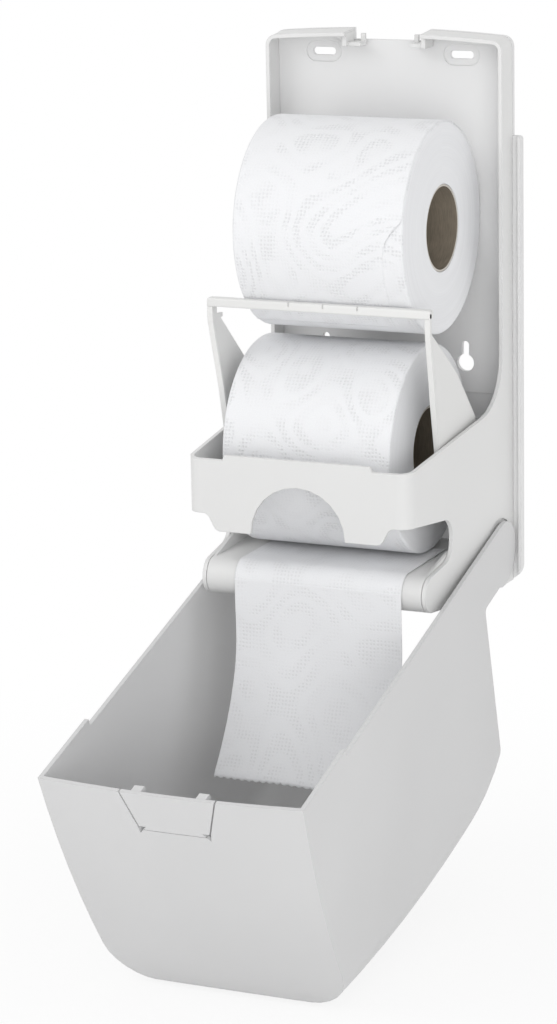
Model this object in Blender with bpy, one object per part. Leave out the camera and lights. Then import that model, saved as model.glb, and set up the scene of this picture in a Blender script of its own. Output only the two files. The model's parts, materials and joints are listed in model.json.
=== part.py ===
"""A wall-hung dispenser for two toilet rolls, its front cover swung open.

Metres, +Z up. X runs across the dispenser, the wall is the plane Y = 0 and the dispenser stands
out from it towards -Y. The origin is the middle of the back plate's wall side.
In the code a depth is a distance out from the wall, and a height is measured from the plate's
bottom edge. The cover is modelled shut and then turned about its pins into the open position.
"""
from math import atan2, ceil, cos, hypot, pi, radians, sin

import bmesh
import bpy
from mathutils import Vector

# Fits shared by all pieces
GAP = 0.0003            # least air between two touching pieces
SEAT_GAP = 0.0005       # air round a piece that slides in by hand
OVERRUN = 0.010         # how far a cutting shape runs past what it cuts
BITE = 0.0006           # how far a joined shape is let into the wall that carries it
ARC_STEP = radians(15)
ROLL_STEP = radians(6)

# Back plate
PLATE_HEIGHT = 0.308
PLATE_THICKNESS = 0.003
FLANGE_MARGIN = 0.0051
FLANGE_HEIGHT = 0.251
FLANGE_CORNER = 0.009
LIP_THICKNESS = 0.0018
LIP_RISE = 0.002
TOP_CROWN = 0.003
TOP_CORNER = 0.006
TOP_FALL = 0.0013
SLOT_SPREAD = 0.041
SLOT_DROP = 0.0138
SLOT_LENGTH = 0.0138
SLOT_WIDTH = 0.0043
SLOT_POCKET_MARGIN = 0.0036
POCKET_DEPTH = 0.0008
KEYHOLE_SPREAD = 0.0423
KEYHOLE_HEIGHT = 0.1227
KEYHOLE_RADIUS = 0.005
KEYHOLE_NECK = 0.0042
KEYHOLE_RISE = 0.0123
STEP_HEIGHT = 0.106
STEP_HALF_WIDTH = 0.058
NOTCH_WIDTH = 0.045
NOTCH_DROP = 0.0066

# Roll frame: rim, tray and arms
FRAME_HALF_WIDTH = 0.0707
FRAME_FRONT_HALF_WIDTH = 0.0649
FRAME_DEPTH = 0.143
FRAME_WALL = 0.0022
FRAME_CORNER = 0.008
RIM_DEPTH = 0.0177
TRAY_TOP_FRONT = 0.0903
TRAY_TOP_REAR = 0.1045
TRAY_SWEEP = 0.030
TRAY_LIP_WIDTH = 0.0874
TRAY_LIP_RISE = 0.003
TRAY_SKIRT = 0.0605
TRAY_CHIN = 0.051
CHIN_HALF_WIDTH = 0.0505
CHIN_ROUND = 0.0045
CHIN_SLOPE = 0.005
THUMB_ARCH_RADIUS = 0.0275
MOUTH_REAR = 0.0878
MOUTH_TOP = 0.0548
MOUTH_FLOOR = 0.033
MOUTH_ROUND = 0.0105
CATCH_WIDTH = 0.010
CATCH_THICKNESS = 0.0022
CATCH_DROP = 0.0073
CATCH_POST_WIDTH = 0.0024
CATCH_POST_DEPTH = 0.002
CATCH_POST_RISE = 0.0043
GUSSET_WIDTH = 0.008
GUSSET_DROP = 0.006

# Cover hinge
PIVOT_DEPTH = 0.0233
PIVOT_HEIGHT = 0.0195
EAR_RADIUS = 0.0187
EAR_SWEEP = 0.0015
EAR_RECESS = 0.0007
PIN_RADIUS = 0.004
PIN_HEAD_RADIUS = 0.0065
PIN_HEAD_THICKNESS = 0.002
PIN_BOSS_RADIUS = 0.009
PIN_BOSS_RISE = 0.0012
EAR_BOSS_RADIUS = 0.008
PIN_REACH = 0.0016
OPEN_ANGLE = radians(106.6)

# Cover
COVER_GAP = 0.0005
COVER_WALL = 0.0024
COVER_DEPTH = 0.163
COVER_BELLY_HEIGHT = 0.1065
COVER_END_DEPTH = 0.1455
COVER_END_FALL = 0.032
COVER_END_GAP = 0.0008
COVER_CORNER = 0.026
COVER_CHIN = 0.046
COVER_CHIN_DEPTH = 0.1495
COVER_CHIN_CORNER = 0.016
COVER_HEEL = 0.054
COVER_HEEL_ROUND = 0.003
COVER_NOSE_ROUND = 0.005
COVER_RIM_GAP = 0.0008

# Latch tongue in the cover's end wall
TONGUE_WIDTH = 0.0545
TONGUE_FOLD_WIDTH = 0.0394
TONGUE_LENGTH = 0.0245
TONGUE_SLIT = 0.0008
WINDOW_WIDTH = 0.0040
WINDOW_LENGTH = 0.0045
HOOK_SPREAD = 0.018
HOOK_WIDTH = 0.0055
HOOK_DEPTH = 0.003
HOOK_DROP = 0.0063

# Guide chute under the lower roll
CHUTE_TOP = 0.029
CHUTE_WALL = 0.0024
CHUTE_REAR = 0.035
CHUTE_SIDE_GAP = 0.00035
NOSE_DEPTH = 0.1145
NOSE_RADIUS = 0.010
CHEEK_THICKNESS = 0.0018
CHEEK_TOP = 0.036
CHEEK_ROUND = 0.008
CHEEK_FOOT_DEPTH = 0.095
PEG_RADIUS = 0.003
PEG_REACH = 0.0009
REAR_PEG_DEPTH = 0.052
REAR_PEG_RADIUS = 0.002

# Flap that holds the upper roll up
FLAP_PIVOT_DEPTH = 0.052
FLAP_PIVOT_HEIGHT = 0.078
FLAP_ARM_OUTER = 0.0636
FLAP_ARM_THICKNESS = 0.002
FLAP_LOBE_RADIUS = 0.009
FLAP_BAR_HALF_WIDTH = 0.0648
FLAP_BAR_RADIUS = 0.0022
FLAP_BAR_DEPTH = 0.1106
FLAP_BAR_HEIGHT = 0.1714
FLAP_SHELF_THICKNESS = 0.0018
FLAP_SHELF_TAIL = 0.0095
FLAP_SLOPE = radians(32.2)
FLAP_ARM_FRONT_DEPTH = 0.0889
FLAP_ARM_FRONT_HEIGHT = 0.0936
FLAP_ARM_KNEE_DEPTH = 0.0855
FLAP_ARM_KNEE_HEIGHT = 0.078
FLAP_ARM_BACK_DEPTH = 0.0345
FLAP_ARM_BACK_HEIGHT = 0.1001
FLAP_NICK_WIDTH = 0.0009
FLAP_NICK_SPREAD = 0.020
FLAP_NICK_SHIFT = 0.0035
FLAP_NICK_DEPTH = 0.0009
FLAP_PIN_RADIUS = 0.0025
FLAP_PIN_HEAD_RADIUS = 0.0046
FLAP_PIN_HEAD_THICKNESS = 0.0016
FLAP_BOSS_RADIUS = 0.005
FLAP_BORE_WALL = 0.0018

# Frame screws, driven from behind the plate
SCREW_INSET = 0.0046
SCREW_LOW_HEIGHT = 0.060
SCREW_HIGH_DROP = 0.093
SCREW_RADIUS = 0.0015
SCREW_HEAD_RADIUS = 0.0028
SCREW_HEAD_THICKNESS = 0.0015
SCREW_LENGTH = 0.006
SCREW_BOSS_RADIUS = 0.0031
SCREW_BOSS_LENGTH = 0.0045
SCREW_COUNTERBORE = 0.002

# Paper
ROLL_RADIUS = 0.0575
ROLL_WIDTH = 0.098
CORE_RADIUS = 0.0236
CORE_WALL = 0.0012
UPPER_ROLL_SHIFT = 0.003
UPPER_ROLL_HEIGHT = 0.208
LOWER_ROLL_SHIFT = -0.003
LOWER_ROLL_DEPTH = 0.0677
SHEET_THICKNESS = 0.0005
SHEET_LEAD_DEPTH = 0.060
TAIL_SHIFT = 0.003
TAIL_DROP = 0.077
TAIL_STRAIGHT = 0.025
TAIL_KICK = 0.034
TAIL_POINTS = 9

# Shares: a slot's round ends stop just short of meeting; the ear's front stands in its circle
ROUND_SHARE = 0.98
EAR_FRONT_SHARE = 0.82

# Colours
FRAME_GREY = (0.80, 0.80, 0.79, 1.0)
COVER_GREY = (0.72, 0.72, 0.72, 1.0)
FLAP_WHITE = (0.88, 0.88, 0.87, 1.0)
PAPER_WHITE = (0.92, 0.91, 0.89, 1.0)
CARD_BROWN = (0.27, 0.20, 0.14, 1.0)
STEEL_GREY = (0.55, 0.55, 0.56, 1.0)

# Worked out from the sizes above
FRAME_DRAFT = (FRAME_HALF_WIDTH - FRAME_FRONT_HALF_WIDTH) / FRAME_DEPTH
TOP_SLOPE = TOP_FALL / RIM_DEPTH
FRAME_REAR = PLATE_THICKNESS + GAP
TRAY_SLOPE = (TRAY_TOP_REAR - TRAY_TOP_FRONT) / (FRAME_DEPTH - RIM_DEPTH)
RIM_REAR = PIVOT_DEPTH - EAR_RADIUS
COVER_END_TOP = PLATE_HEIGHT + COVER_END_GAP + COVER_WALL
COVER_END_BEND = (COVER_END_FALL - TOP_SLOPE * COVER_END_DEPTH) / COVER_END_DEPTH**2
COVER_BOW = (COVER_DEPTH - COVER_END_DEPTH) / (COVER_END_TOP - COVER_END_FALL - COVER_BELLY_HEIGHT) ** 2
COVER_CHIN_BOW = (COVER_DEPTH - COVER_CHIN_DEPTH) / (COVER_BELLY_HEIGHT - COVER_CHIN) ** 3
FLANGE_HALF_WIDTH = FRAME_HALF_WIDTH + FLANGE_MARGIN
SCREW_SPREAD = FRAME_HALF_WIDTH - SCREW_INSET
SCREW_HIGH_HEIGHT = PLATE_HEIGHT - SCREW_HIGH_DROP
FLAP_ARM_INNER = FLAP_ARM_OUTER - FLAP_ARM_THICKNESS
LOWER_ROLL_HEIGHT = CHUTE_TOP + SHEET_THICKNESS + ROLL_RADIUS + 2 * GAP
PAPER_GAP = GAP + SHEET_THICKNESS / 2
HOOK_REAR = PLATE_THICKNESS / 3
CATCH_TOP = PLATE_HEIGHT - CATCH_DROP
CATCH_OUTER = NOTCH_WIDTH / 2 + CATCH_THICKNESS
RIM_STEP_HEIGHT = FLANGE_HEIGHT + 2 * COVER_RIM_GAP
REAR_PEG_HEIGHT = CHUTE_TOP + (CHEEK_TOP - CHUTE_TOP) / 3
UPPER_ROLL_DEPTH = PLATE_THICKNESS + ROLL_RADIUS + SEAT_GAP


def frame_half(depth):
    """Half the width over the frame's sides, which draw in towards the front."""
    return FRAME_HALF_WIDTH - FRAME_DRAFT * depth


def frame_inner(depth):
    return frame_half(depth) - FRAME_WALL


def cover_inner(depth):
    return frame_half(depth) + COVER_GAP


def cover_outer(depth):
    return cover_inner(depth) + COVER_WALL


def chute_half(depth):
    return frame_inner(depth) - CHUTE_SIDE_GAP


def crown(across):
    """How far the rounded top has dropped at a distance from the middle."""
    return TOP_CROWN * (across / FRAME_HALF_WIDTH) ** 2


def cover_front(height):
    """Depth of the cover's front at a height: bowed above the belly, curling in to the chin below."""
    above = height - COVER_BELLY_HEIGHT
    return COVER_DEPTH - (COVER_BOW * above**2 if above > 0 else COVER_CHIN_BOW * (-above) ** 3)


def cover_end(depth):
    """Height of the cover's end wall, outside and on the middle line."""
    return COVER_END_TOP - TOP_SLOPE * depth - COVER_END_BEND * depth**2


def arc(centre, radius, start, end, step=ARC_STEP):
    """Points along an arc from one angle to another."""
    count = max(2, ceil(abs(end - start) / step - 0.001))
    turns = [start + (end - start) * i / count for i in range(count + 1)]
    return [(centre[0] + radius * cos(t), centre[1] + radius * sin(t)) for t in turns]


def rounded(corners):
    """Outline through corners (a, b, radius), each corner rounded by its radius."""
    points = []
    for i, (a, b, radius) in enumerate(corners):
        if radius == 0:
            points.append((a, b))
            continue
        before = corners[i - 1]
        after = corners[(i + 1) % len(corners)]
        start = atan2(before[1] - b, before[0] - a)
        end = atan2(after[1] - b, after[0] - a)
        opening = (end - start + pi) % (2 * pi) - pi
        middle = start + opening / 2
        reach = radius / sin(abs(opening) / 2)
        centre = (a + reach * cos(middle), b + reach * sin(middle))
        swing = (pi - abs(opening)) / 2
        side = 1 if opening < 0 else -1
        points += arc(centre, radius, middle + pi - side * swing, middle + pi + side * swing)
    return points


def solid(name, rings, ring_shaped=False):
    """One closed mesh skinned over rings of points, capped at both ends or joined to a ring."""
    shape = bmesh.new()
    rows = [[shape.verts.new(point) for point in ring] for ring in rings]
    pairs = list(zip(rows, rows[1:]))
    if ring_shaped:
        pairs.append((rows[-1], rows[0]))
    else:
        shape.faces.new(rows[0])
        shape.faces.new(rows[-1])
    for lower, upper in pairs:
        for i in range(len(lower)):
            j = (i + 1) % len(lower)
            shape.faces.new((lower[i], lower[j], upper[j], upper[i]))
    bmesh.ops.recalc_face_normals(shape, faces=shape.faces)
    mesh = bpy.data.meshes.new(name)
    shape.to_mesh(mesh)
    shape.free()
    piece = bpy.data.objects.new(name, mesh)
    bpy.context.collection.objects.link(piece)
    return piece


def across(name, outline, left, right):
    """Prism along X from an outline of (depth, height); an end may follow the depth."""
    ends = [end if callable(end) else (lambda depth, end=end: end) for end in (left, right)]
    return solid(name, [[(end(d), -d, h) for d, h in outline] for end in ends])


def outwards(name, outline, near, far):
    """Prism out from the wall, from an outline of (across, height)."""
    return solid(name, [[(x, -depth, h) for x, h in outline] for depth in (near, far)])


def upright(name, outline, low, high):
    """Prism along Z from an outline of (across, depth)."""
    return solid(name, [[(x, -d, height) for x, d in outline] for height in (low, high)])


def block(name, left, right, near, far, low, high):
    corners = [(left, low), (right, low), (right, high), (left, high)]
    return outwards(name, corners, near, far)


def circle(radius, step=ARC_STEP):
    return arc((0, 0), radius, 0, 2 * pi, step)[:-1]


def turned(name, profile, depth, height, step=ARC_STEP):
    """Round solid about a line along X, from a profile of (radius, across)."""
    rings = []
    for radius, x in profile:
        rings.append([(x, -depth - a, height + b) for a, b in circle(radius, step)])
    return solid(name, rings)


def turned_outwards(name, profile, x, height, step=ARC_STEP):
    """Round solid about a line out from the wall, from a profile of (radius, depth)."""
    rings = []
    for radius, depth in profile:
        rings.append([(x + a, -depth, height + b) for a, b in circle(radius, step)])
    return solid(name, rings)


def boolean(piece, tool, operation):
    """Applies one exact Boolean to the piece and removes the tool."""
    bpy.context.view_layer.update()
    change = piece.modifiers.new(operation, 'BOOLEAN')
    change.operation = operation
    change.solver = 'EXACT'
    change.object = tool
    graph = bpy.context.evaluated_depsgraph_get()
    result = bpy.data.meshes.new_from_object(piece.evaluated_get(graph))
    piece.modifiers.clear()
    piece.data = result
    bpy.data.objects.remove(tool)
    return piece


def cut(piece, *tools):
    for tool in tools:
        boolean(piece, tool, 'DIFFERENCE')
    return piece


def join(piece, *tools):
    for tool in tools:
        boolean(piece, tool, 'UNION')
    return piece


def keep(piece, *tools):
    for tool in tools:
        boolean(piece, tool, 'INTERSECT')
    return piece


def plastic(name, colour, roughness):
    """Principled material with a colour and a roughness."""
    material = bpy.data.materials.new(name)
    material.use_nodes = True
    shader = material.node_tree.nodes['Principled BSDF']
    shader.inputs['Base Color'].default_value = colour
    shader.inputs['Roughness'].default_value = roughness
    shader.inputs['Metallic'].default_value = 0.0
    material.diffuse_color = colour
    return material


def finish(piece, material, pivot=(0.0, 0.0, 0.0), carrier=None, hold=(0.0, 0.0, 0.0)):
    """Names, shades and places a piece: its origin goes to the pivot (across, depth, height).

    A carried piece is placed from its carrier, whose own pivot is given as hold.
    """
    x, depth, height = pivot
    origin = Vector((x, -depth, height))
    for vertex in piece.data.vertices:
        vertex.co -= origin
    piece.data.materials.clear()
    piece.data.materials.append(material)
    piece.data.shade_smooth()
    piece.data.set_sharp_from_angle(angle=radians(32))
    if carrier is None:
        piece.location = origin + Vector((0, 0, -PLATE_HEIGHT / 2))
    else:
        piece.parent = carrier
        piece.location = origin - Vector((hold[0], -hold[1], hold[2]))
    return piece


def both_sides(shape_at):
    """Makes a shape on the right (+1) and on the left (-1)."""
    return [shape_at(side) for side in (1, -1)]


def crowned_outline(half, top, corner, bottom):
    """Outline (across, height) with a crowned top edge and round top corners."""
    shoulder = half - corner
    seat = top - crown(shoulder) - corner
    points = [(-half, bottom), (half, bottom)]
    points += arc((shoulder, seat), corner, 0, pi / 2)
    steps = 8
    for i in range(1, steps):
        x = shoulder * (1 - 2 * i / steps)
        points.append((x, top - crown(x)))
    points += arc((-shoulder, seat), corner, pi / 2, pi)
    return points


def back_plate():
    """Flat panel with a wider flange below, whose lips take the edge of the shut cover."""
    upper_half = frame_half(0)
    plate = outwards('back_plate',
                     crowned_outline(upper_half, PLATE_HEIGHT, TOP_CORNER, FLANGE_CORNER),
                     0, PLATE_THICKNESS)
    flange = rounded([(-FLANGE_HALF_WIDTH, 0, FLANGE_CORNER), (FLANGE_HALF_WIDTH, 0, FLANGE_CORNER),
                      (FLANGE_HALF_WIDTH, FLANGE_HEIGHT, LIP_THICKNESS),
                      (-FLANGE_HALF_WIDTH, FLANGE_HEIGHT, LIP_THICKNESS)])
    inside = FLANGE_HALF_WIDTH - LIP_THICKNESS
    lipped = cut(outwards('flange', flange, 0, PLATE_THICKNESS + LIP_RISE),
                 block('between_lips', -inside, inside, PLATE_THICKNESS, PLATE_THICKNESS + OVERRUN,
                       -OVERRUN, FLANGE_HEIGHT + OVERRUN))
    join(plate, lipped)
    cut(plate, block('notch', -NOTCH_WIDTH / 2, NOTCH_WIDTH / 2, -OVERRUN,
                     PLATE_THICKNESS + OVERRUN, PLATE_HEIGHT - NOTCH_DROP, PLATE_HEIGHT + OVERRUN))
    cut(plate, block('lower_panel', -STEP_HALF_WIDTH, STEP_HALF_WIDTH,
                     PLATE_THICKNESS - POCKET_DEPTH, PLATE_THICKNESS + OVERRUN,
                     FLANGE_CORNER, STEP_HEIGHT))

    def stadium(length, width, x, height):
        half = length / 2
        return rounded([(x - half, height - width / 2, width / 2 * ROUND_SHARE),
                        (x + half, height - width / 2, width / 2 * ROUND_SHARE),
                        (x + half, height + width / 2, width / 2 * ROUND_SHARE),
                        (x - half, height + width / 2, width / 2 * ROUND_SHARE)])

    slot_height = PLATE_HEIGHT - SLOT_DROP
    pocket = 2 * SLOT_POCKET_MARGIN
    for side in (1, -1):
        x = side * SLOT_SPREAD
        cut(plate,
            outwards('slot_pocket', stadium(SLOT_LENGTH + pocket, SLOT_WIDTH + pocket, x, slot_height),
                     PLATE_THICKNESS - POCKET_DEPTH, PLATE_THICKNESS + OVERRUN),
            outwards('slot', stadium(SLOT_LENGTH, SLOT_WIDTH, x, slot_height),
                     -OVERRUN, PLATE_THICKNESS + OVERRUN))
        x = side * KEYHOLE_SPREAD
        neck = KEYHOLE_NECK / 2
        top = KEYHOLE_HEIGHT + KEYHOLE_RISE
        keyhole = join(
            turned_outwards('keyhole', [(KEYHOLE_RADIUS, -OVERRUN),
                                        (KEYHOLE_RADIUS, PLATE_THICKNESS + OVERRUN)],
                            x, KEYHOLE_HEIGHT),
            outwards('neck', [(x - neck, KEYHOLE_HEIGHT), (x + neck, KEYHOLE_HEIGHT)]
                     + arc((x, top - neck), neck, 0, pi),
                     -OVERRUN - BITE, PLATE_THICKNESS + OVERRUN + BITE))
        cut(plate, keyhole)
        for height in (SCREW_LOW_HEIGHT, SCREW_HIGH_HEIGHT):
            bore = SCREW_RADIUS + GAP
            mouth = SCREW_HEAD_RADIUS + GAP
            cut(plate, turned_outwards('screw_hole',
                                       [(mouth, -OVERRUN), (mouth, SCREW_COUNTERBORE),
                                        (bore, SCREW_COUNTERBORE), (bore, PLATE_THICKNESS + OVERRUN)],
                                       side * SCREW_SPREAD, height))
    return plate


def frame_shell(name, inset, rear, front, bottom):
    """Solid bounded by the frame's skin, drawn in by an inset."""
    corner = FRAME_CORNER - inset
    start = front - corner
    stations = [(rear, 0.0)]
    for depth, shrink in arc((start, 0.0), corner, pi / 2, 0):
        stations.append((depth, corner - shrink))
    rings = []
    for depth, shrink in stations:
        half = frame_half(depth) - inset - shrink
        top = PLATE_HEIGHT - TOP_SLOPE * depth - inset
        outline = crowned_outline(half, top, TOP_CORNER - inset, bottom)
        rings.append([(x, -depth, height) for x, height in outline])
    return solid(name, rings)


def roll_frame():
    """Rim round the plate, tray with its front wall, and the two arms, in one moulding."""
    frame = frame_shell('roll_frame', 0, FRAME_REAR, FRAME_DEPTH, 0)
    cut(frame, frame_shell('frame_hollow', FRAME_WALL, -OVERRUN, FRAME_DEPTH - FRAME_WALL, -OVERRUN))

    above = PLATE_HEIGHT + OVERRUN
    beyond = FRAME_DEPTH + OVERRUN
    corner_depth = FRAME_DEPTH - FRAME_CORNER
    skirt_step = corner_depth + FRAME_WALL / 2
    sweep_height = TRAY_TOP_REAR
    front_height = TRAY_TOP_FRONT - TRAY_SLOPE * OVERRUN
    side = [(FRAME_REAR - BITE, above), (RIM_DEPTH, above)]
    side += rounded([(RIM_DEPTH, above, 0), (RIM_DEPTH, sweep_height, TRAY_SWEEP),
                     (beyond, front_height, 0)])[1:-1]
    side += [(beyond, front_height), (beyond, TRAY_CHIN - BITE), (skirt_step, TRAY_CHIN - BITE),
             (skirt_step, TRAY_SKIRT)]
    side += rounded([(skirt_step, TRAY_SKIRT, 0), (MOUTH_REAR, MOUTH_TOP, MOUTH_ROUND),
                     (MOUTH_REAR, MOUTH_FLOOR, MOUTH_ROUND),
                     (NOSE_DEPTH, CHUTE_TOP, 0)])[1:-1]
    side += arc((NOSE_DEPTH, CHUTE_TOP - NOSE_RADIUS), NOSE_RADIUS, pi / 2, -pi / 2)
    side += [(PIVOT_DEPTH + EAR_RADIUS / 2, -BITE), (FRAME_REAR - BITE, -BITE)]
    keep(frame, across('side_outline', side, -FRAME_HALF_WIDTH - OVERRUN, FRAME_HALF_WIDTH + OVERRUN))

    below = -OVERRUN
    outer = FRAME_HALF_WIDTH + OVERRUN
    chin_in = CHIN_HALF_WIDTH - CHIN_SLOPE / 2
    chin_out = CHIN_HALF_WIDTH + CHIN_SLOPE / 2
    edge = rounded([(-outer, TRAY_SKIRT, 0), (-chin_out, TRAY_SKIRT, CHIN_ROUND),
                    (-chin_in, TRAY_CHIN, CHIN_ROUND), (-THUMB_ARCH_RADIUS, TRAY_CHIN, 0)])
    edge += arc((0, TRAY_CHIN), THUMB_ARCH_RADIUS, pi, 0)[1:-1]
    edge += rounded([(THUMB_ARCH_RADIUS, TRAY_CHIN, 0), (chin_in, TRAY_CHIN, CHIN_ROUND),
                     (chin_out, TRAY_SKIRT, CHIN_ROUND), (outer, TRAY_SKIRT, 0)])
    edge += [(outer, below), (-outer, below)]
    cut(frame, outwards('front_edge', edge, corner_depth, beyond))
    half_lip = TRAY_LIP_WIDTH / 2
    tray_top = TRAY_TOP_FRONT - BITE
    lip = [(-half_lip, tray_top), (half_lip, tray_top),
           (half_lip - TRAY_LIP_RISE / 2, TRAY_TOP_FRONT + TRAY_LIP_RISE),
           (-half_lip + TRAY_LIP_RISE / 2, TRAY_TOP_FRONT + TRAY_LIP_RISE)]
    join(frame, outwards('lip', lip, FRAME_DEPTH - FRAME_WALL, FRAME_DEPTH))

    notch_low = PLATE_HEIGHT - NOTCH_DROP
    cut(frame, block('rim_notch', -NOTCH_WIDTH / 2, NOTCH_WIDTH / 2, 0, RIM_DEPTH + OVERRUN,
                     notch_low, above))

    def catch(side):
        """Ledge hung from the rim at one end of the notch, with the post that the hook meets."""
        inner = CATCH_OUTER - CATCH_WIDTH
        web = [(side * NOTCH_WIDTH / 2 - side * BITE / 2, CATCH_TOP - CATCH_THICKNESS),
               (side * CATCH_OUTER, CATCH_TOP - CATCH_THICKNESS),
               (side * CATCH_OUTER, PLATE_HEIGHT - FRAME_WALL),
               (side * NOTCH_WIDTH / 2 - side * BITE / 2, PLATE_HEIGHT - FRAME_WALL)]
        post_near = HOOK_REAR + HOOK_DEPTH + 2 * GAP
        shape = outwards('catch', web, FRAME_REAR + GAP, RIM_DEPTH - FRAME_WALL)
        ledge = [(side * inner, CATCH_TOP - CATCH_THICKNESS), (side * CATCH_OUTER - side * BITE,
                 CATCH_TOP - CATCH_THICKNESS), (side * CATCH_OUTER - side * BITE, CATCH_TOP),
                 (side * inner, CATCH_TOP)]
        post = [(side * inner, CATCH_TOP - BITE), (side * (inner + CATCH_POST_WIDTH), CATCH_TOP - BITE),
                (side * (inner + CATCH_POST_WIDTH), CATCH_TOP + CATCH_POST_RISE),
                (side * inner, CATCH_TOP + CATCH_POST_RISE)]
        return join(shape,
                    outwards('ledge', ledge, FRAME_REAR + 2 * GAP, RIM_DEPTH - 2 * FRAME_WALL),
                    outwards('post', post, post_near, post_near + CATCH_POST_DEPTH))

    join(frame, *both_sides(catch))
    gusset = [(-CATCH_OUTER - GUSSET_WIDTH, PLATE_HEIGHT - FRAME_WALL),
              (-CATCH_OUTER + BITE, PLATE_HEIGHT - FRAME_WALL),
              (-CATCH_OUTER + BITE, PLATE_HEIGHT - FRAME_WALL - GUSSET_DROP)]
    join(frame, outwards('gusset', gusset, FRAME_REAR + GAP, RIM_DEPTH - 2 * FRAME_WALL))

    def ear_recess(side):
        sweep = EAR_RADIUS + EAR_SWEEP
        inner = frame_half(PIVOT_DEPTH) - EAR_RECESS
        return turned('ear_recess', [(sweep, side * inner), (sweep, side * (inner + OVERRUN))],
                      PIVOT_DEPTH, PIVOT_HEIGHT)

    def boss(name, side, radius, face, depth, height):
        wall = frame_inner(depth) + FRAME_WALL / 2
        return turned(name, [(radius, side * face), (radius, side * wall)], depth, height)

    def bore(name, side, radius, face, end, depth, height):
        return turned(name, [(radius, side * face), (radius, side * end)], depth, height)

    pin_face = frame_inner(PIVOT_DEPTH) - PIN_BOSS_RISE
    flap_face = FLAP_ARM_OUTER + GAP
    for side in (1, -1):
        cut(frame, ear_recess(side))
        join(frame, boss('pin_boss', side, PIN_BOSS_RADIUS, pin_face, PIVOT_DEPTH, PIVOT_HEIGHT),
             boss('flap_boss', side, FLAP_BOSS_RADIUS, flap_face, FLAP_PIVOT_DEPTH, FLAP_PIVOT_HEIGHT))
        cut(frame,
            bore('pin_bore', side, PIN_RADIUS + GAP, pin_face - OVERRUN,
                 frame_half(0) + OVERRUN, PIVOT_DEPTH, PIVOT_HEIGHT),
            bore('flap_bore', side, FLAP_PIN_RADIUS + GAP, flap_face - OVERRUN,
                 frame_half(FLAP_PIVOT_DEPTH) - FLAP_BORE_WALL, FLAP_PIVOT_DEPTH, FLAP_PIVOT_HEIGHT),
            bore('peg_hole', side, PEG_RADIUS + GAP, frame_inner(NOSE_DEPTH) - OVERRUN,
                 frame_inner(NOSE_DEPTH) + PEG_REACH + GAP, NOSE_DEPTH, CHUTE_TOP - NOSE_RADIUS),
            bore('rear_peg_hole', side, REAR_PEG_RADIUS + GAP, frame_inner(REAR_PEG_DEPTH) - OVERRUN,
                 frame_inner(REAR_PEG_DEPTH) + PEG_REACH + GAP, REAR_PEG_DEPTH, REAR_PEG_HEIGHT))
        for height in (SCREW_LOW_HEIGHT, SCREW_HIGH_HEIGHT):
            x = side * SCREW_SPREAD
            end = FRAME_REAR + SCREW_BOSS_LENGTH
            join(frame, turned_outwards('screw_boss', [(SCREW_BOSS_RADIUS, FRAME_REAR),
                                                       (SCREW_BOSS_RADIUS, end)], x, height))
            cut(frame, turned_outwards('screw_bore', [(SCREW_RADIUS + GAP, 0),
                                                      (SCREW_RADIUS + GAP, end - FRAME_WALL / 2)],
                                       x, height))
    return frame


def frame_screw(name, side, height):
    """Screw with a flat head, driven from the wall side into a boss of the frame."""
    head = GAP + SCREW_HEAD_THICKNESS
    return turned_outwards(name, [(SCREW_HEAD_RADIUS, GAP), (SCREW_HEAD_RADIUS, head),
                                  (SCREW_RADIUS, head), (SCREW_RADIUS, SCREW_LENGTH - SCREW_RADIUS),
                                  (SCREW_RADIUS / 2, SCREW_LENGTH)], side * SCREW_SPREAD, height)


def guide_chute():
    """Plate that the lower roll rests on, curling down into a round nose between two cheeks."""
    centre = (NOSE_DEPTH, CHUTE_TOP - NOSE_RADIUS)
    under = CHUTE_TOP - CHUTE_WALL
    curl = -pi / 2 - pi / 6
    plate = [(CHUTE_REAR, under), (CHUTE_REAR, CHUTE_TOP)]
    plate += arc(centre, NOSE_RADIUS, pi / 2, curl)
    plate += arc(centre, NOSE_RADIUS - CHUTE_WALL, curl, pi / 2)
    chute = across('guide_chute', plate, lambda d: -chute_half(d), chute_half)
    cheek = rounded([(CHUTE_REAR, under, 0), (CHUTE_REAR, CHEEK_TOP, CHUTE_WALL),
                     (MOUTH_REAR, CHEEK_TOP, CHEEK_ROUND), (NOSE_DEPTH, CHUTE_TOP, 0)])[:-1]
    cheek += arc(centre, NOSE_RADIUS, pi / 2, -pi / 2)
    cheek += [(CHEEK_FOOT_DEPTH, CHUTE_TOP - 2 * NOSE_RADIUS), (REAR_PEG_DEPTH, under)]

    def side_cheek(side):
        return across('cheek', cheek, lambda d: side * (chute_half(d) - CHEEK_THICKNESS),
                      lambda d: side * chute_half(d))

    def peg(side, radius, depth, height):
        start = chute_half(depth) - CHEEK_THICKNESS / 2
        end = frame_inner(depth) + PEG_REACH
        return turned('peg', [(radius, side * start), (radius, side * end)], depth, height)

    join(chute, *both_sides(side_cheek))
    for side in (1, -1):
        join(chute, peg(side, PEG_RADIUS, NOSE_DEPTH, CHUTE_TOP - NOSE_RADIUS),
             peg(side, REAR_PEG_RADIUS, REAR_PEG_DEPTH, REAR_PEG_HEIGHT))
    return chute


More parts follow.
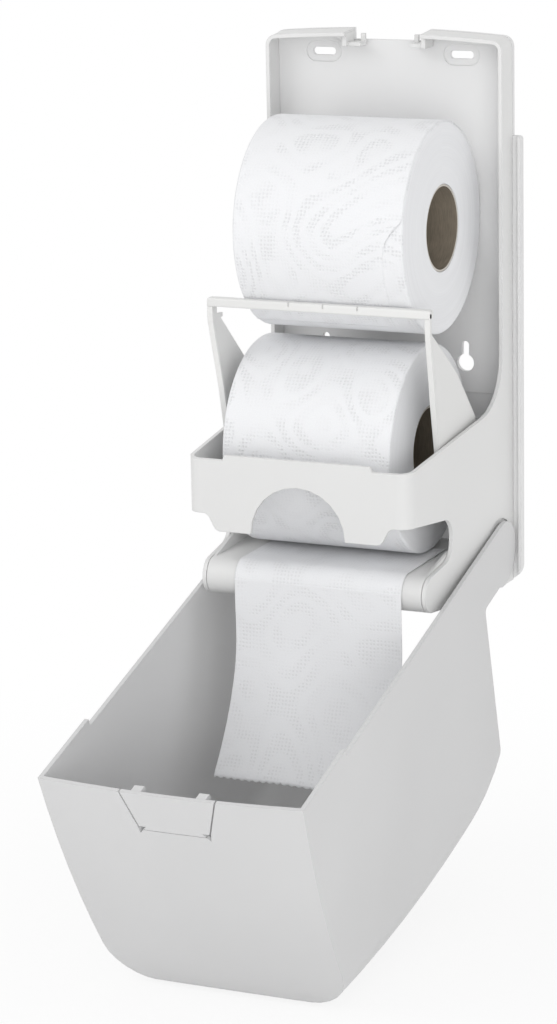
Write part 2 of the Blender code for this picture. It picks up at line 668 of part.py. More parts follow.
def cover_body(name, inset, rear, bottom, top):
    """Solid inside the cover's skin, drawn in by an inset, skinned over level sections."""
    lower = 5
    upper = 7
    heights = [bottom] + [COVER_CHIN + (COVER_BELLY_HEIGHT - COVER_CHIN) * i / lower for i in range(lower)]
    heights += [COVER_BELLY_HEIGHT + (top - COVER_BELLY_HEIGHT) * i / upper for i in range(upper + 1)]
    rings = []
    for height in heights:
        front = cover_front(max(height, COVER_CHIN)) - inset
        widening = (max(height, COVER_CHIN) - COVER_CHIN) / (COVER_END_TOP - COVER_CHIN)
        corner = COVER_CHIN_CORNER + (COVER_CORNER - COVER_CHIN_CORNER) * widening - inset
        outline = rounded([(-cover_outer(rear) + inset, rear, 0),
                           (-cover_outer(front) + inset, front, corner),
                           (cover_outer(front) - inset, front, corner),
                           (cover_outer(rear) - inset, rear, 0)])
        rings.append([(x, -depth, height) for x, depth in outline])
    return solid(name, rings)


def cover_cap(name, inset):
    """Solid under the cover's crowned, sloping end wall, lowered by an inset."""
    half = cover_outer(0) + OVERRUN
    stations = [-OVERRUN] + [COVER_DEPTH * i / 8 for i in range(10)]
    rings = []
    for depth in stations:
        ring = [(-half, -depth, -3 * OVERRUN), (half, -depth, -3 * OVERRUN)]
        for i in range(11):
            x = half * (1 - i / 5)
            ring.append((x, -depth, cover_end(max(depth, 0)) - crown(x) - inset))
        rings.append(ring)
    return solid(name, rings)


def cover_skin(name):
    """The cover's walls, shut: both sides with their ears, the bowed front and the end wall."""
    skin = cover_body(name, 0, -COVER_WALL, -OVERRUN, COVER_END_TOP + COVER_WALL)
    keep(skin, cover_cap('cap', 0))
    hollow = cover_body('hollow', COVER_WALL, -2 * COVER_WALL, -2 * OVERRUN,
                        COVER_END_TOP + 2 * COVER_WALL)
    cut(skin, keep(hollow, cover_cap('hollow_cap', COVER_WALL)))

    ear_front = EAR_RADIUS * EAR_FRONT_SHARE
    side = rounded([(PIVOT_DEPTH + ear_front, PIVOT_HEIGHT, 0),
                    (PIVOT_DEPTH + ear_front, COVER_HEEL, COVER_HEEL_ROUND),
                    (COVER_DEPTH, COVER_CHIN, 0)])[1:]
    side += [(COVER_DEPTH + OVERRUN, COVER_CHIN)]
    nose_height = cover_end(COVER_END_DEPTH)
    front_lean = 2 * COVER_BOW * (nose_height - COVER_BELLY_HEIGHT)
    end_lean = TOP_SLOPE + 2 * COVER_END_BEND * COVER_END_DEPTH
    reach = COVER_END_DEPTH / 2
    side += rounded([(COVER_END_DEPTH + front_lean * reach, nose_height - reach, 0),
                     (COVER_END_DEPTH, nose_height, COVER_NOSE_ROUND),
                     (COVER_END_DEPTH - reach, nose_height + end_lean * reach, 0)])
    side += [(COVER_RIM_GAP, COVER_END_TOP + OVERRUN), (COVER_RIM_GAP, RIM_STEP_HEIGHT),
             (RIM_REAR, RIM_STEP_HEIGHT)]
    ear_angle = atan2((EAR_RADIUS**2 - ear_front**2) ** 0.5, ear_front)
    side += arc((PIVOT_DEPTH, PIVOT_HEIGHT), EAR_RADIUS, pi, 2 * pi + ear_angle)
    half = cover_outer(0) + OVERRUN
    return keep(skin, across('side_outline', side, -half, half))


def cover_shell():
    """Front cover with its ears, the pocket for the latch tongue and the two key windows."""
    cover = cover_skin('cover_shell')
    face = frame_half(PIVOT_DEPTH) - EAR_RECESS + SEAT_GAP

    def ear_boss(side):
        wall = cover_inner(PIVOT_DEPTH) + COVER_WALL / 2
        return turned('ear_boss', [(EAR_BOSS_RADIUS, side * face), (EAR_BOSS_RADIUS, side * wall)],
                      PIVOT_DEPTH, PIVOT_HEIGHT)

    def ear_bore(side):
        end = cover_inner(PIVOT_DEPTH) + PIN_REACH
        return turned('ear_bore', [(PIN_RADIUS + GAP, side * (face - OVERRUN)),
                                   (PIN_RADIUS + GAP, side * end)], PIVOT_DEPTH, PIVOT_HEIGHT)

    join(cover, *both_sides(ear_boss))
    cut(cover, *both_sides(ear_bore))
    cut(cover, tongue_outline('pocket', 0))
    cut(cover, *both_sides(key_window))
    return cover


def tongue_outline(name, inset):
    """Upright prism with the tongue's outline, drawn in by an inset on three sides."""
    low = cover_end(COVER_END_DEPTH)
    rim = TONGUE_WIDTH / 2 - inset
    fold = TONGUE_FOLD_WIDTH / 2 - inset
    length = TONGUE_LENGTH - min(inset, GAP)
    outline = [(-rim, -OVERRUN), (rim, -OVERRUN), (rim, 0), (fold, length), (-fold, length), (-rim, 0)]
    return upright(name, outline, low, COVER_END_TOP + OVERRUN)


def key_window(side):
    """Three-cornered window at one end of the tongue's fold line."""
    fold = TONGUE_FOLD_WIDTH / 2
    near = TONGUE_LENGTH - WINDOW_LENGTH / 2
    outline = [(side * (fold + TONGUE_SLIT), near), (side * (fold - WINDOW_WIDTH), near),
               (side * fold, near + WINDOW_LENGTH)]
    return upright('key_window', outline, cover_end(COVER_END_DEPTH), COVER_END_TOP + OVERRUN)


def latch_tongue():
    """Springy tongue of the end wall, with two hooks that drop behind the catch posts."""
    tongue = keep(cover_skin('latch_tongue'), tongue_outline('tongue', TONGUE_SLIT))
    cut(tongue, *both_sides(key_window))

    def hook(side):
        x = side * HOOK_SPREAD
        wide = HOOK_WIDTH / 2
        rear = HOOK_REAR
        front = HOOK_REAR + HOOK_DEPTH
        top = cover_end(front) - crown(HOOK_SPREAD) - COVER_WALL / 2
        low = top - COVER_WALL / 2 - HOOK_DROP
        leg = [(rear, low + HOOK_DEPTH / 2), (front, low), (front, top), (rear, top)]
        return across('hook', leg, x - wide, x + wide)

    join(tongue, *both_sides(hook))
    return tongue


def cover_pin(name, side):
    """Headed pin through the frame's boss into the cover's ear."""
    head_face = frame_inner(PIVOT_DEPTH) - PIN_BOSS_RISE - GAP
    end = cover_inner(PIVOT_DEPTH) + PIN_REACH - GAP
    profile = [(PIN_HEAD_RADIUS, head_face - PIN_HEAD_THICKNESS), (PIN_HEAD_RADIUS, head_face),
               (PIN_RADIUS, head_face), (PIN_RADIUS, end)]
    return turned(name, [(radius, side * x) for radius, x in profile], PIVOT_DEPTH, PIVOT_HEIGHT)


def flap():
    """Swinging flap: a bar and a sloping shelf between two arms that hang on the tray's sides."""
    normal = (sin(FLAP_SLOPE), -cos(FLAP_SLOPE))
    down = (-cos(FLAP_SLOPE), -sin(FLAP_SLOPE))
    reach = ROLL_RADIUS + 2 * GAP
    foot = (UPPER_ROLL_DEPTH + reach * normal[0], UPPER_ROLL_HEIGHT + reach * normal[1])
    up_length = hypot(FLAP_BAR_DEPTH - foot[0], FLAP_BAR_HEIGHT - foot[1])

    def shelf_point(along, below):
        return (foot[0] + along * down[0] + below * normal[0],
                foot[1] + along * down[1] + below * normal[1])

    thick = FLAP_SHELF_THICKNESS
    shelf = [shelf_point(-up_length, 0), shelf_point(-up_length, thick),
             shelf_point(FLAP_SHELF_TAIL, thick), shelf_point(FLAP_SHELF_TAIL, 0)]
    piece = across('flap', shelf, -FLAP_ARM_INNER - BITE, FLAP_ARM_INNER + BITE)
    bar = (FLAP_BAR_RADIUS, FLAP_BAR_HALF_WIDTH)
    join(piece, turned('bar', [(bar[0], -bar[1]), (bar[0], bar[1])], FLAP_BAR_DEPTH, FLAP_BAR_HEIGHT,
                       2 * ARC_STEP))

    pivot = (FLAP_PIVOT_DEPTH, FLAP_PIVOT_HEIGHT)
    top = (FLAP_BAR_DEPTH + FLAP_BAR_RADIUS, FLAP_BAR_HEIGHT + FLAP_BAR_RADIUS)
    tail = shelf_point(FLAP_SHELF_TAIL, 0)
    hip = shelf_point(-FLAP_SHELF_TAIL, 0)
    chest = (FLAP_BAR_DEPTH - FLAP_SHELF_TAIL, FLAP_BAR_HEIGHT - 2 * FLAP_SHELF_TAIL)
    waist = ((tail[0] + FLAP_ARM_BACK_DEPTH) / 2, (tail[1] + FLAP_ARM_BACK_HEIGHT) / 2)
    arm = rounded([(top[0], top[1], FLAP_BAR_RADIUS), (hip[0], hip[1], 0), (tail[0], tail[1], 0),
                   (waist[0], waist[1] + FLAP_BAR_RADIUS / 2, 0),
                   (FLAP_ARM_BACK_DEPTH, FLAP_ARM_BACK_HEIGHT, FLAP_LOBE_RADIUS / 2),
                   (FLAP_ARM_BACK_DEPTH + FLAP_LOBE_RADIUS, FLAP_PIVOT_HEIGHT + FLAP_LOBE_RADIUS / 2,
                    0)])
    arm += arc(pivot, FLAP_LOBE_RADIUS, pi, 3 * pi / 2)
    arm += rounded([(FLAP_PIVOT_DEPTH, FLAP_PIVOT_HEIGHT - FLAP_LOBE_RADIUS, 0),
                    (FLAP_ARM_KNEE_DEPTH, FLAP_ARM_KNEE_HEIGHT, FLAP_LOBE_RADIUS),
                    (FLAP_ARM_FRONT_DEPTH, FLAP_ARM_FRONT_HEIGHT, 0),
                    (chest[0], chest[1], FLAP_LOBE_RADIUS),
                    (top[0], top[1] - FLAP_BAR_RADIUS, 0)])[1:]

    def flap_arm(side):
        return across('arm', arm, side * FLAP_ARM_INNER, side * FLAP_ARM_OUTER)

    join(piece, *both_sides(flap_arm))
    for place in (-1, 0, 1):
        x = FLAP_NICK_SHIFT + place * FLAP_NICK_SPREAD
        face = FLAP_BAR_DEPTH + FLAP_BAR_RADIUS
        cut(piece, block('nick', x - FLAP_NICK_WIDTH / 2, x + FLAP_NICK_WIDTH / 2,
                         face - FLAP_NICK_DEPTH, face + OVERRUN,
                         FLAP_BAR_HEIGHT - OVERRUN, FLAP_BAR_HEIGHT + OVERRUN))
    for side in (1, -1):
        hole = FLAP_PIN_RADIUS + GAP
        cut(piece, turned('pin_hole', [(hole, side * (FLAP_ARM_INNER - OVERRUN)),
                                       (hole, side * (FLAP_ARM_OUTER + OVERRUN))],
                          FLAP_PIVOT_DEPTH, FLAP_PIVOT_HEIGHT))
    return piece


def flap_pin(name, side):
    """Headed pin that carries one arm of the flap on the tray's side."""
    head = FLAP_ARM_INNER - GAP
    end = frame_half(FLAP_PIVOT_DEPTH) - FLAP_BORE_WALL - GAP
    profile = [(FLAP_PIN_HEAD_RADIUS, head - FLAP_PIN_HEAD_THICKNESS), (FLAP_PIN_HEAD_RADIUS, head),
               (FLAP_PIN_RADIUS, head), (FLAP_PIN_RADIUS, end)]
    return turned(name, [(radius, side * x) for radius, x in profile],
                  FLAP_PIVOT_DEPTH, FLAP_PIVOT_HEIGHT)


def tube(name, outer, inner, shift, depth, height):
    """Hollow cylinder along X, as wide as the paper."""
    half = ROLL_WIDTH / 2
    rings = []
    for radius, x in ((outer, -half), (outer, half), (inner, half), (inner, -half)):
        rings.append([(shift + x, -depth - a, height + b) for a, b in circle(radius, ROLL_STEP)])
    return solid(name, rings, ring_shaped=True)


def paper_sheet(name, path):
    """Sheet as wide as the roll, its thickness laid evenly on both sides of a path."""
    sides = ([], [])
    for i, (depth, height) in enumerate(path):
        before = path[max(i - 1, 0)]
        after = path[min(i + 1, len(path) - 1)]
        length = hypot(after[0] - before[0], after[1] - before[1])
        normal = (-(after[1] - before[1]) / length, (after[0] - before[0]) / length)
        for side, sign in zip(sides, (1, -1)):
            offset = sign * SHEET_THICKNESS / 2
            side.append((depth + offset * normal[0], height + offset * normal[1]))
    half = ROLL_WIDTH / 2
    return across(name, sides[0] + sides[1][::-1], TAIL_SHIFT - half, TAIL_SHIFT + half)


def paper_lead():
    """First sheet: from under the lower roll along the chute and over its nose."""
    centre = (NOSE_DEPTH, CHUTE_TOP - NOSE_RADIUS)
    path = [(SHEET_LEAD_DEPTH, CHUTE_TOP + PAPER_GAP)]
    path += arc(centre, NOSE_RADIUS + PAPER_GAP, pi / 2, ARC_STEP / 3)
    return paper_sheet('paper_lead', path)


def paper_tail():
    """Second sheet: hangs from the nose and kicks out towards its torn end."""
    depth = NOSE_DEPTH + NOSE_RADIUS + PAPER_GAP
    start = CHUTE_TOP - NOSE_RADIUS
    path = [(depth, start), (depth, start - TAIL_STRAIGHT)]
    for i in range(1, TAIL_POINTS):
        fall = i / (TAIL_POINTS - 1)
        path.append((depth + TAIL_KICK * fall**2, start - TAIL_STRAIGHT - TAIL_DROP * fall))
    return paper_sheet('paper_tail', path)


def build():
    """Makes every piece and puts the moving ones on their hinges."""
    frame_plastic = plastic('frame_plastic', FRAME_GREY, 0.45)
    cover_plastic = plastic('cover_plastic', COVER_GREY, 0.5)
    flap_plastic = plastic('flap_plastic', FLAP_WHITE, 0.4)
    paper = plastic('paper', PAPER_WHITE, 0.95)
    card = plastic('card', CARD_BROWN, 0.9)
    steel = plastic('steel', STEEL_GREY, 0.35)

    finish(back_plate(), frame_plastic)
    finish(roll_frame(), frame_plastic)
    finish(guide_chute(), frame_plastic)
    for side, word in ((1, 'right'), (-1, 'left')):
        finish(frame_screw('frame_screw_low_' + word, side, SCREW_LOW_HEIGHT), steel)
        finish(frame_screw('frame_screw_high_' + word, side, SCREW_HIGH_HEIGHT), steel)
        finish(cover_pin('cover_pin_' + word, side), frame_plastic)
        finish(flap_pin('flap_pin_' + word, side), frame_plastic)

    hinge = (0.0, PIVOT_DEPTH, PIVOT_HEIGHT)
    cover = finish(cover_shell(), cover_plastic, hinge)
    cover.rotation_euler = (OPEN_ANGLE, 0, 0)
    fold = (0.0, TONGUE_LENGTH, cover_end(TONGUE_LENGTH))
    finish(latch_tongue(), cover_plastic, fold, cover, hinge)
    finish(flap(), flap_plastic, (0.0, FLAP_PIVOT_DEPTH, FLAP_PIVOT_HEIGHT))

    for word, shift, depth, height in (
            ('upper', UPPER_ROLL_SHIFT, UPPER_ROLL_DEPTH, UPPER_ROLL_HEIGHT),
            ('lower', LOWER_ROLL_SHIFT, LOWER_ROLL_DEPTH, LOWER_ROLL_HEIGHT)):
        axle = (shift, depth, height)
        finish(tube(word + '_roll_tissue', ROLL_RADIUS, CORE_RADIUS + GAP, *axle), paper, axle)
        finish(tube(word + '_roll_core', CORE_RADIUS, CORE_RADIUS - CORE_WALL, *axle), card, axle)
    finish(paper_lead(), paper)
    finish(paper_tail(), paper)


for leftover in list(bpy.data.objects):
    bpy.data.objects.remove(leftover)
build()
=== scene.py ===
"""Looks of a wall-hung dispenser for two toilet rolls, its deep front cover swung open.

Metres, +Z up. The wall is the plane Y = 0 and the dispenser stands out from it towards -Y. The
plastic and steel solids keep their shapes and get a finish. The rolls, their card cores and the
paper's end are new surfaces in place of plainer solids. The flap is new as well, and it is without
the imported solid's sloping shelf.
"""

import json
from math import cos, pi, radians, sin, tau

import bmesh
import bpy
import numpy as np
from bpy.props import FloatProperty, FloatVectorProperty, IntProperty, PointerProperty
from bpy.types import Operator, Panel, PropertyGroup
from mathutils import Matrix, Vector

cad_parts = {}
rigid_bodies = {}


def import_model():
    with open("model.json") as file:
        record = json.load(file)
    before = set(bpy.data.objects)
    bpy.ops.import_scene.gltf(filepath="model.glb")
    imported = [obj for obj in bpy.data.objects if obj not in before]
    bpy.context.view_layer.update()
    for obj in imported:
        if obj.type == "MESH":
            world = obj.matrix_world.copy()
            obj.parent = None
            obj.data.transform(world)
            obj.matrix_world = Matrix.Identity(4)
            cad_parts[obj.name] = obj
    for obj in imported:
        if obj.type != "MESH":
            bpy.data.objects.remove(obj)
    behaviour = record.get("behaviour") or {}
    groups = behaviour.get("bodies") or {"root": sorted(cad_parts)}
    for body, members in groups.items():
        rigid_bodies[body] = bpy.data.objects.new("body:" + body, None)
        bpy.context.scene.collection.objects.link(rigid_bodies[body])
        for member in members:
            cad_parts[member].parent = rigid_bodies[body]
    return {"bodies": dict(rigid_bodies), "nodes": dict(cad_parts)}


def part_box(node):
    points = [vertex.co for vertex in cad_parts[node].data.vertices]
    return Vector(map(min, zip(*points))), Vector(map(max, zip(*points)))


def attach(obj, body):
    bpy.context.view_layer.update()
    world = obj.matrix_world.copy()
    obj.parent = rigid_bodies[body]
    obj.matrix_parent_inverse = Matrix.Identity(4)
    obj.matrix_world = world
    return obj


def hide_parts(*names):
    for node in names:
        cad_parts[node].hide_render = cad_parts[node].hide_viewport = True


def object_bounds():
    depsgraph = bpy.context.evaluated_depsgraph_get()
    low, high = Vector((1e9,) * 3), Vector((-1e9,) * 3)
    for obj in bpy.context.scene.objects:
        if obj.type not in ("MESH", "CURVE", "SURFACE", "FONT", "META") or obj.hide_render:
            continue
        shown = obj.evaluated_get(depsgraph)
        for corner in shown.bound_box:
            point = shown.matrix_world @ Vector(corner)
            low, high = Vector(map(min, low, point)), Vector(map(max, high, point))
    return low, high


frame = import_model()
packed_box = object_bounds()

bl_info = {
    "name": "Double Roll Dispenser Looks",
    "version": (1, 0, 0),
    "blender": (4, 5, 0),
    "location": "3D View > Sidebar > Dispenser",
    "description": "Finishes, paper and studio of an open dispenser for two toilet rolls",
    "category": "Object",
}

HOUSING_NODES = ("back_plate", "roll_frame", "guide_chute", "cover_pin_left", "cover_pin_right",
                 "flap_pin_left", "flap_pin_right")
COVER_NODES = ("cover_shell", "latch_tongue")
SCREW_NODES = ("frame_screw_low_left", "frame_screw_low_right",
               "frame_screw_high_left", "frame_screw_high_right")

# Corners nearer than this are one corner.
WELD = 0.000002
# Air between a core's nominal outside and the paper wound on it.
CORE_PLAY = 0.0002
# Angle between faces past which an edge of a new piece is sharp.
CREASE = radians(40)
# Half the thickness of a packed sheet.
HALF_SHEET = 0.00025
# Radius of the chute's nose, and the air between it and the sheet's middle line.
NOSE_RADIUS = 0.010
NOSE_AIR = 0.00055
KEY_PLACE = (-1.5, -1.7, 1.5)
FILL_PLACE = (1.25, -1.95, -0.1)
LAMP_AIM = (0.0, -0.12, -0.08)
LAMP_SIZE = 1.5
# Distance between neighbouring nodes in a drawn tree.
NODE_STEP = 190


def middle_of(node):
    """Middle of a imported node's box."""
    low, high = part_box(node)
    return (low + high) / 2


def colour_setting(name, about, default):
    """Colour property with its label, tooltip and default."""
    return FloatVectorProperty(name=name, description=about, default=default, subtype='COLOR',
                               size=4, min=0.0, max=1.0)


def length_setting(name, about, default):
    """Length property in metres with its label, tooltip and default."""
    return FloatProperty(name=name, description=about, default=default, min=0.0,
                         unit='LENGTH', subtype='DISTANCE', precision=5)


# Settings

class PlasticSettings(PropertyGroup):
    """Colours and surface of the moulded parts."""
    frame_colour: colour_setting("Frame", "Rim, tray, arms and chute", (0.74, 0.74, 0.735, 1.0))
    plate_colour: colour_setting("Back plate", "Flat plate on the wall", (0.77, 0.77, 0.77, 1.0))
    cover_colour: colour_setting("Cover", "Front cover and its latch", (0.635, 0.635, 0.637, 1.0))
    flap_colour: colour_setting("Flap", "Bar and arms", (0.76, 0.76, 0.75, 1.0))
    steel_colour: colour_setting("Screws", "Zinc-plated steel", (0.50, 0.50, 0.51, 1.0))
    edge_radius: length_setting("Edge radius", "Rounding of the moulded edges", 0.0006)
    grain_size: length_setting("Grain size", "Spacing of the mould's fine grain", 0.0007)
    grain_depth: length_setting("Grain depth", "Height of the mould's fine grain", 0.00001)
    roughness: FloatProperty(name="Roughness", description="Satin of the plastic", default=0.42,
                             min=0.0, max=1.0, subtype='FACTOR')


class FlapSettings(PropertyGroup):
    """Sizes of the flap that holds the upper roll."""
    bar_height: length_setting("Bar height", "Height of the front bar", 0.0048)
    bar_depth: length_setting("Bar depth", "Depth of the front bar", 0.0060)
    bar_round: length_setting("Bar rounding", "Rounding along the bar", 0.0009)
    bar_drop: length_setting("Bar drop", "From the top of the flap's box to the bar", 0.0012)
    web_wall: length_setting("Web wall", "Thickness of an arm's flat web", 0.0018)
    rib_width: length_setting("Rib width", "Width of the rib along an arm's front", 0.0032)
    rib_depth: length_setting("Rib depth", "Depth of the rib along an arm's front", 0.0022)
    nick_width: length_setting("Nick width", "Width of a nick in the bar", 0.0009)
    nick_depth: length_setting("Nick depth", "Depth of a nick in the bar", 0.0009)
    nick_spread: length_setting("Nick spread", "Distance between nicks", 0.020)
    nick_shift: length_setting("Nick shift", "Middle nick, off the middle", 0.0035)


class PaperSettings(PropertyGroup):
    """Sizes and colours of the rolls and the hanging paper."""
    colour: colour_setting("Tissue", "Bleached tissue", (0.82, 0.825, 0.84, 1.0))
    card_colour: colour_setting("Card", "Brown card of the cores", (0.24, 0.205, 0.16, 1.0))
    card_edge_colour: colour_setting("Card edge", "Cut edge of the cores", (0.60, 0.57, 0.52, 1.0))
    roll_radius: length_setting("Roll radius", "Half the width over a full roll", 0.0578)
    roll_width: length_setting("Roll width", "Width of the paper", 0.098)
    core_radius: length_setting("Core radius", "Outside of the card core", 0.0236)
    core_wall: length_setting("Core wall", "Thickness of the card", 0.0012)
    edge_round: length_setting("Edge round", "Rounding of a roll's rim", 0.0016)
    ply_thickness: length_setting("Ply", "Thickness shown for one sheet", 0.00025)
    quilt_cell: length_setting("Quilt cell", "Size of the pressed swirls", 0.045)
    quilt_ring: length_setting("Quilt ring", "Spacing of the curved bands of dots", 0.0062)
    quilt_dot: length_setting("Quilt dot", "Spacing of the pressed dots", 0.0021)
    quilt_depth: length_setting("Quilt depth", "Depth of the pressed dots", 0.00024)
    tooth: length_setting("Tooth", "Spacing of the torn perforation", 0.0042)
    around: IntProperty(name="Around", description="Facets round a roll", default=288,
                        min=24, max=720)


class StageSettings(PropertyGroup):
    """Floor, light and camera."""
    floor_colour: colour_setting("Floor", "Pale floor", (0.9, 0.9, 0.9, 1.0))
    floor_drop: length_setting("Floor drop", "Air between the cover and the floor", 0.002)
    floor_radius: length_setting("Floor radius", "How far the floor reaches", 6.0)
    shadow_radius: length_setting("Shadow radius", "Where the floor's shadow has faded", 0.55)
    room_light: FloatProperty(name="Room light", description="Strength of the even light",
                              default=0.80, min=0.0)
    key_power: FloatProperty(name="Key light", description="Large lamp, front left and above",
                             default=12.5, min=0.0, unit='POWER')
    fill_power: FloatProperty(name="Fill light", description="Large lamp, front right",
                              default=20.0, min=0.0, unit='POWER')
    azimuth: FloatProperty(name="Azimuth", description="Camera's turn from the front",
                           default=radians(24.42), subtype='ANGLE')
    elevation: FloatProperty(name="Elevation", description="Camera's height over the level",
                             default=radians(13.77), subtype='ANGLE')
    roll: FloatProperty(name="Roll", description="Camera's tilt", default=radians(-1.12),
                        subtype='ANGLE')
    distance: length_setting("Distance", "Camera to the point that it looks at", 2.0075)
    lens: FloatProperty(name="Lens", description="Focal length on a 36 mm sensor",
                        default=121.66, min=1.0, unit='CAMERA')
    target: FloatVectorProperty(name="Target", description="Point that the camera looks at",
                                default=(-0.0757, 0.0, -0.1278), subtype='TRANSLATION',
                                unit='LENGTH', size=3)


# Surfaces

def patch(points, wrap_rows=False, wrap_columns=False, uv=None, turned=False):
    """One grid of points as (corners, faces, face corner UVs).

    points[i, j] is row i, column j. A wrapped direction joins its last line to its first. uv is
    one row and column longer than the grid in a wrapped direction.
    """
    rows, columns = points.shape[:2]
    i, j = np.meshgrid(np.arange(rows if wrap_rows else rows - 1),
                       np.arange(columns if wrap_columns else columns - 1), indexing="ij")
    below = (i + 1) % rows
    beside = (j + 1) % columns
    faces = np.stack([i * columns + j, below * columns + j, below * columns + beside,
                      i * columns + beside], axis=-1).reshape(-1, 4)
    if uv is None:
        uv = np.zeros((rows + 1, columns + 1, 2))
    corners = np.stack([uv[i, j], uv[i + 1, j], uv[i + 1, j + 1], uv[i, j + 1]], axis=-2)
    corners = corners.reshape(-1, 4, 2)
    if turned:
        faces = faces[:, ::-1]
        corners = corners[:, ::-1]
    return points.reshape(-1, 3), faces, corners


def make_piece(name, patches, finishes, sharp=CREASE):
    """Mesh object from one or more patches, with smooth faces and a UV map called sheet."""
    starts = np.cumsum([0] + [len(one[0]) for one in patches])
    points = np.concatenate([one[0] for one in patches]).astype(np.float32)
    faces = np.concatenate([one[1] + start for one, start in zip(patches, starts)])
    corners = np.concatenate([one[2] for one in patches]).astype(np.float32)
    mesh = bpy.data.meshes.new(name)
    mesh.vertices.add(len(points))
    mesh.vertices.foreach_set("co", points.ravel())
    mesh.loops.add(faces.size)
    mesh.loops.foreach_set("vertex_index", faces.ravel().astype(np.int32))
    mesh.polygons.add(len(faces))
    mesh.polygons.foreach_set("loop_start", np.arange(len(faces), dtype=np.int32) * 4)
    mesh.update(calc_edges=True)
    for material in finishes:
        mesh.materials.append(material)
    mesh.uv_layers.new(name="sheet").data.foreach_set("uv", corners.ravel())
    mesh.shade_smooth()
    mesh.set_sharp_from_angle(angle=sharp)
    mesh.update()
    piece = bpy.data.objects.new(name, mesh)
    bpy.context.scene.collection.objects.link(piece)
    return piece


def close_up(piece):
    """Merges doubled corners of a piece made of patches, and turns its faces outwards."""
    shape = bmesh.new()
    shape.from_mesh(piece.data)
    bmesh.ops.remove_doubles(shape, verts=shape.verts, dist=WELD)
    bmesh.ops.recalc_face_normals(shape, faces=shape.faces)
    shape.to_mesh(piece.data)
    shape.free()
    piece.data.shade_smooth()
    piece.data.set_sharp_from_angle(angle=CREASE)
    piece.data.update()
    return piece


def even_noise(count, spacing, seed):
    """Smooth wrapped noise from -1 to 1: seeded random numbers, blended over a spacing."""
    rough = np.random.default_rng(seed).uniform(-1, 1, count)
    reach = np.arange(-3 * spacing, 3 * spacing + 1)
    weight = np.exp(-(reach / spacing) ** 2)
    smooth = sum(w * np.roll(rough, k) for k, w in zip(reach, weight))
    return smooth / np.abs(smooth).max()


def along(path):
    """Distance run along a path of points, from its start."""
    steps = np.linalg.norm(np.diff(path, axis=0), axis=1)
    return np.concatenate([[0.0], np.cumsum(steps)])


def corner_arc(centre, radius, start, end, count):
    """Points on a circle's arc: the centre plus the radius times the cosine and sine."""
    turn = np.linspace(start, end, count)
    return np.stack([centre[0] + radius * np.cos(turn), centre[1] + radius * np.sin(turn)], axis=1)


def uv_grid(u, v):
    """UVs of a grid: u runs along its columns and v down its rows."""
    return np.stack(np.broadcast_arrays(u[None, :], v[:, None]), axis=-1)


def round_x(centre, across, radius, turn):
    """Grid turned about X: the centre plus (across, -radius times sine, radius times cosine)."""
    return np.stack(np.broadcast_arrays(centre[0] + across, centre[1] - radius * np.sin(turn),
                                        centre[2] + radius * np.cos(turn)), axis=-1)


# Flap

def wall_between(back, front, low, high, columns=6):
    """Closed flat wall between two curves in (depth, height), as a sleeve and two end strips.

    A point is (x, -depth, height). Across the wall its depth and height go evenly from the back
    curve to the front curve, first on the side x = high and then back on the side x = low.
    """
    share = np.linspace(0, 1, columns)[None, :, None]
    face = back[:, None, :] * (1 - share) + front[:, None, :] * share
    sides = []
    for x in (high, low):
        across = np.broadcast_to(np.asarray(x, float).reshape(-1, 1), face.shape[:2])
        sides.append(np.stack([across, -face[..., 0], face[..., 1]], axis=-1))
    sleeve = np.concatenate([sides[0], sides[1][:, ::-1]], axis=1)
    ends = [np.stack([sides[0][row], sides[1][row]]) for row in (0, -1)]
    return [patch(sleeve, wrap_columns=True)] + [patch(end) for end in ends]


def flap_bar(flap, half, front, top):
    """The flap's bar: a rounded rectangle carried along X, with three nicks in its face.

    The section is four quarter circles joined by straight lines. At both ends it shrinks to its
    middle. A point of the upper front face goes back by the nick depth where x lies in a nick.
    """
    soft = flap.bar_round
    rear, base = front - flap.bar_depth, top - flap.bar_height
    face = np.linspace(top - soft, base + soft, 7)[1:-1]
    section = np.concatenate([
        corner_arc((rear + soft, top - soft), soft, pi, pi / 2, 5),
        corner_arc((front - soft, top - soft), soft, pi / 2, 0, 5),
        np.stack([np.full_like(face, front), face], axis=1),
        corner_arc((front - soft, base + soft), soft, 0, -pi / 2, 5),
        corner_arc((rear + soft, base + soft), soft, -pi / 2, -pi, 5)])
    edges = np.array([-0.5, -0.45, 0.45, 0.5]) * flap.nick_width
    nicks = np.array([-1, 0, 1]) * flap.nick_spread + flap.nick_shift
    inner = np.concatenate([[soft - half], (nicks[:, None] + edges).ravel(), [half - soft]])
    x = np.concatenate([[-half, -half], inner, [half, half]])
    size = np.concatenate([[0.0, 0.75], np.ones(len(inner)), [0.75, 0.0]])
    middle = np.array([(front + rear) / 2, (top + base) / 2])
    rows = middle + (section - middle) * size[:, None, None]
    in_nick = np.abs(x[:, None] - nicks).min(axis=1) < 0.46 * flap.nick_width
    high = (section[:, 0] > front - soft) & (section[:, 1] > middle[1])
    depth = rows[..., 0] - flap.nick_depth * (in_nick[:, None] & high[None, :])
    across = np.broadcast_to(x[:, None], depth.shape)
    return [patch(np.stack([across, -depth, rows[..., 1]], axis=-1), wrap_columns=True)]


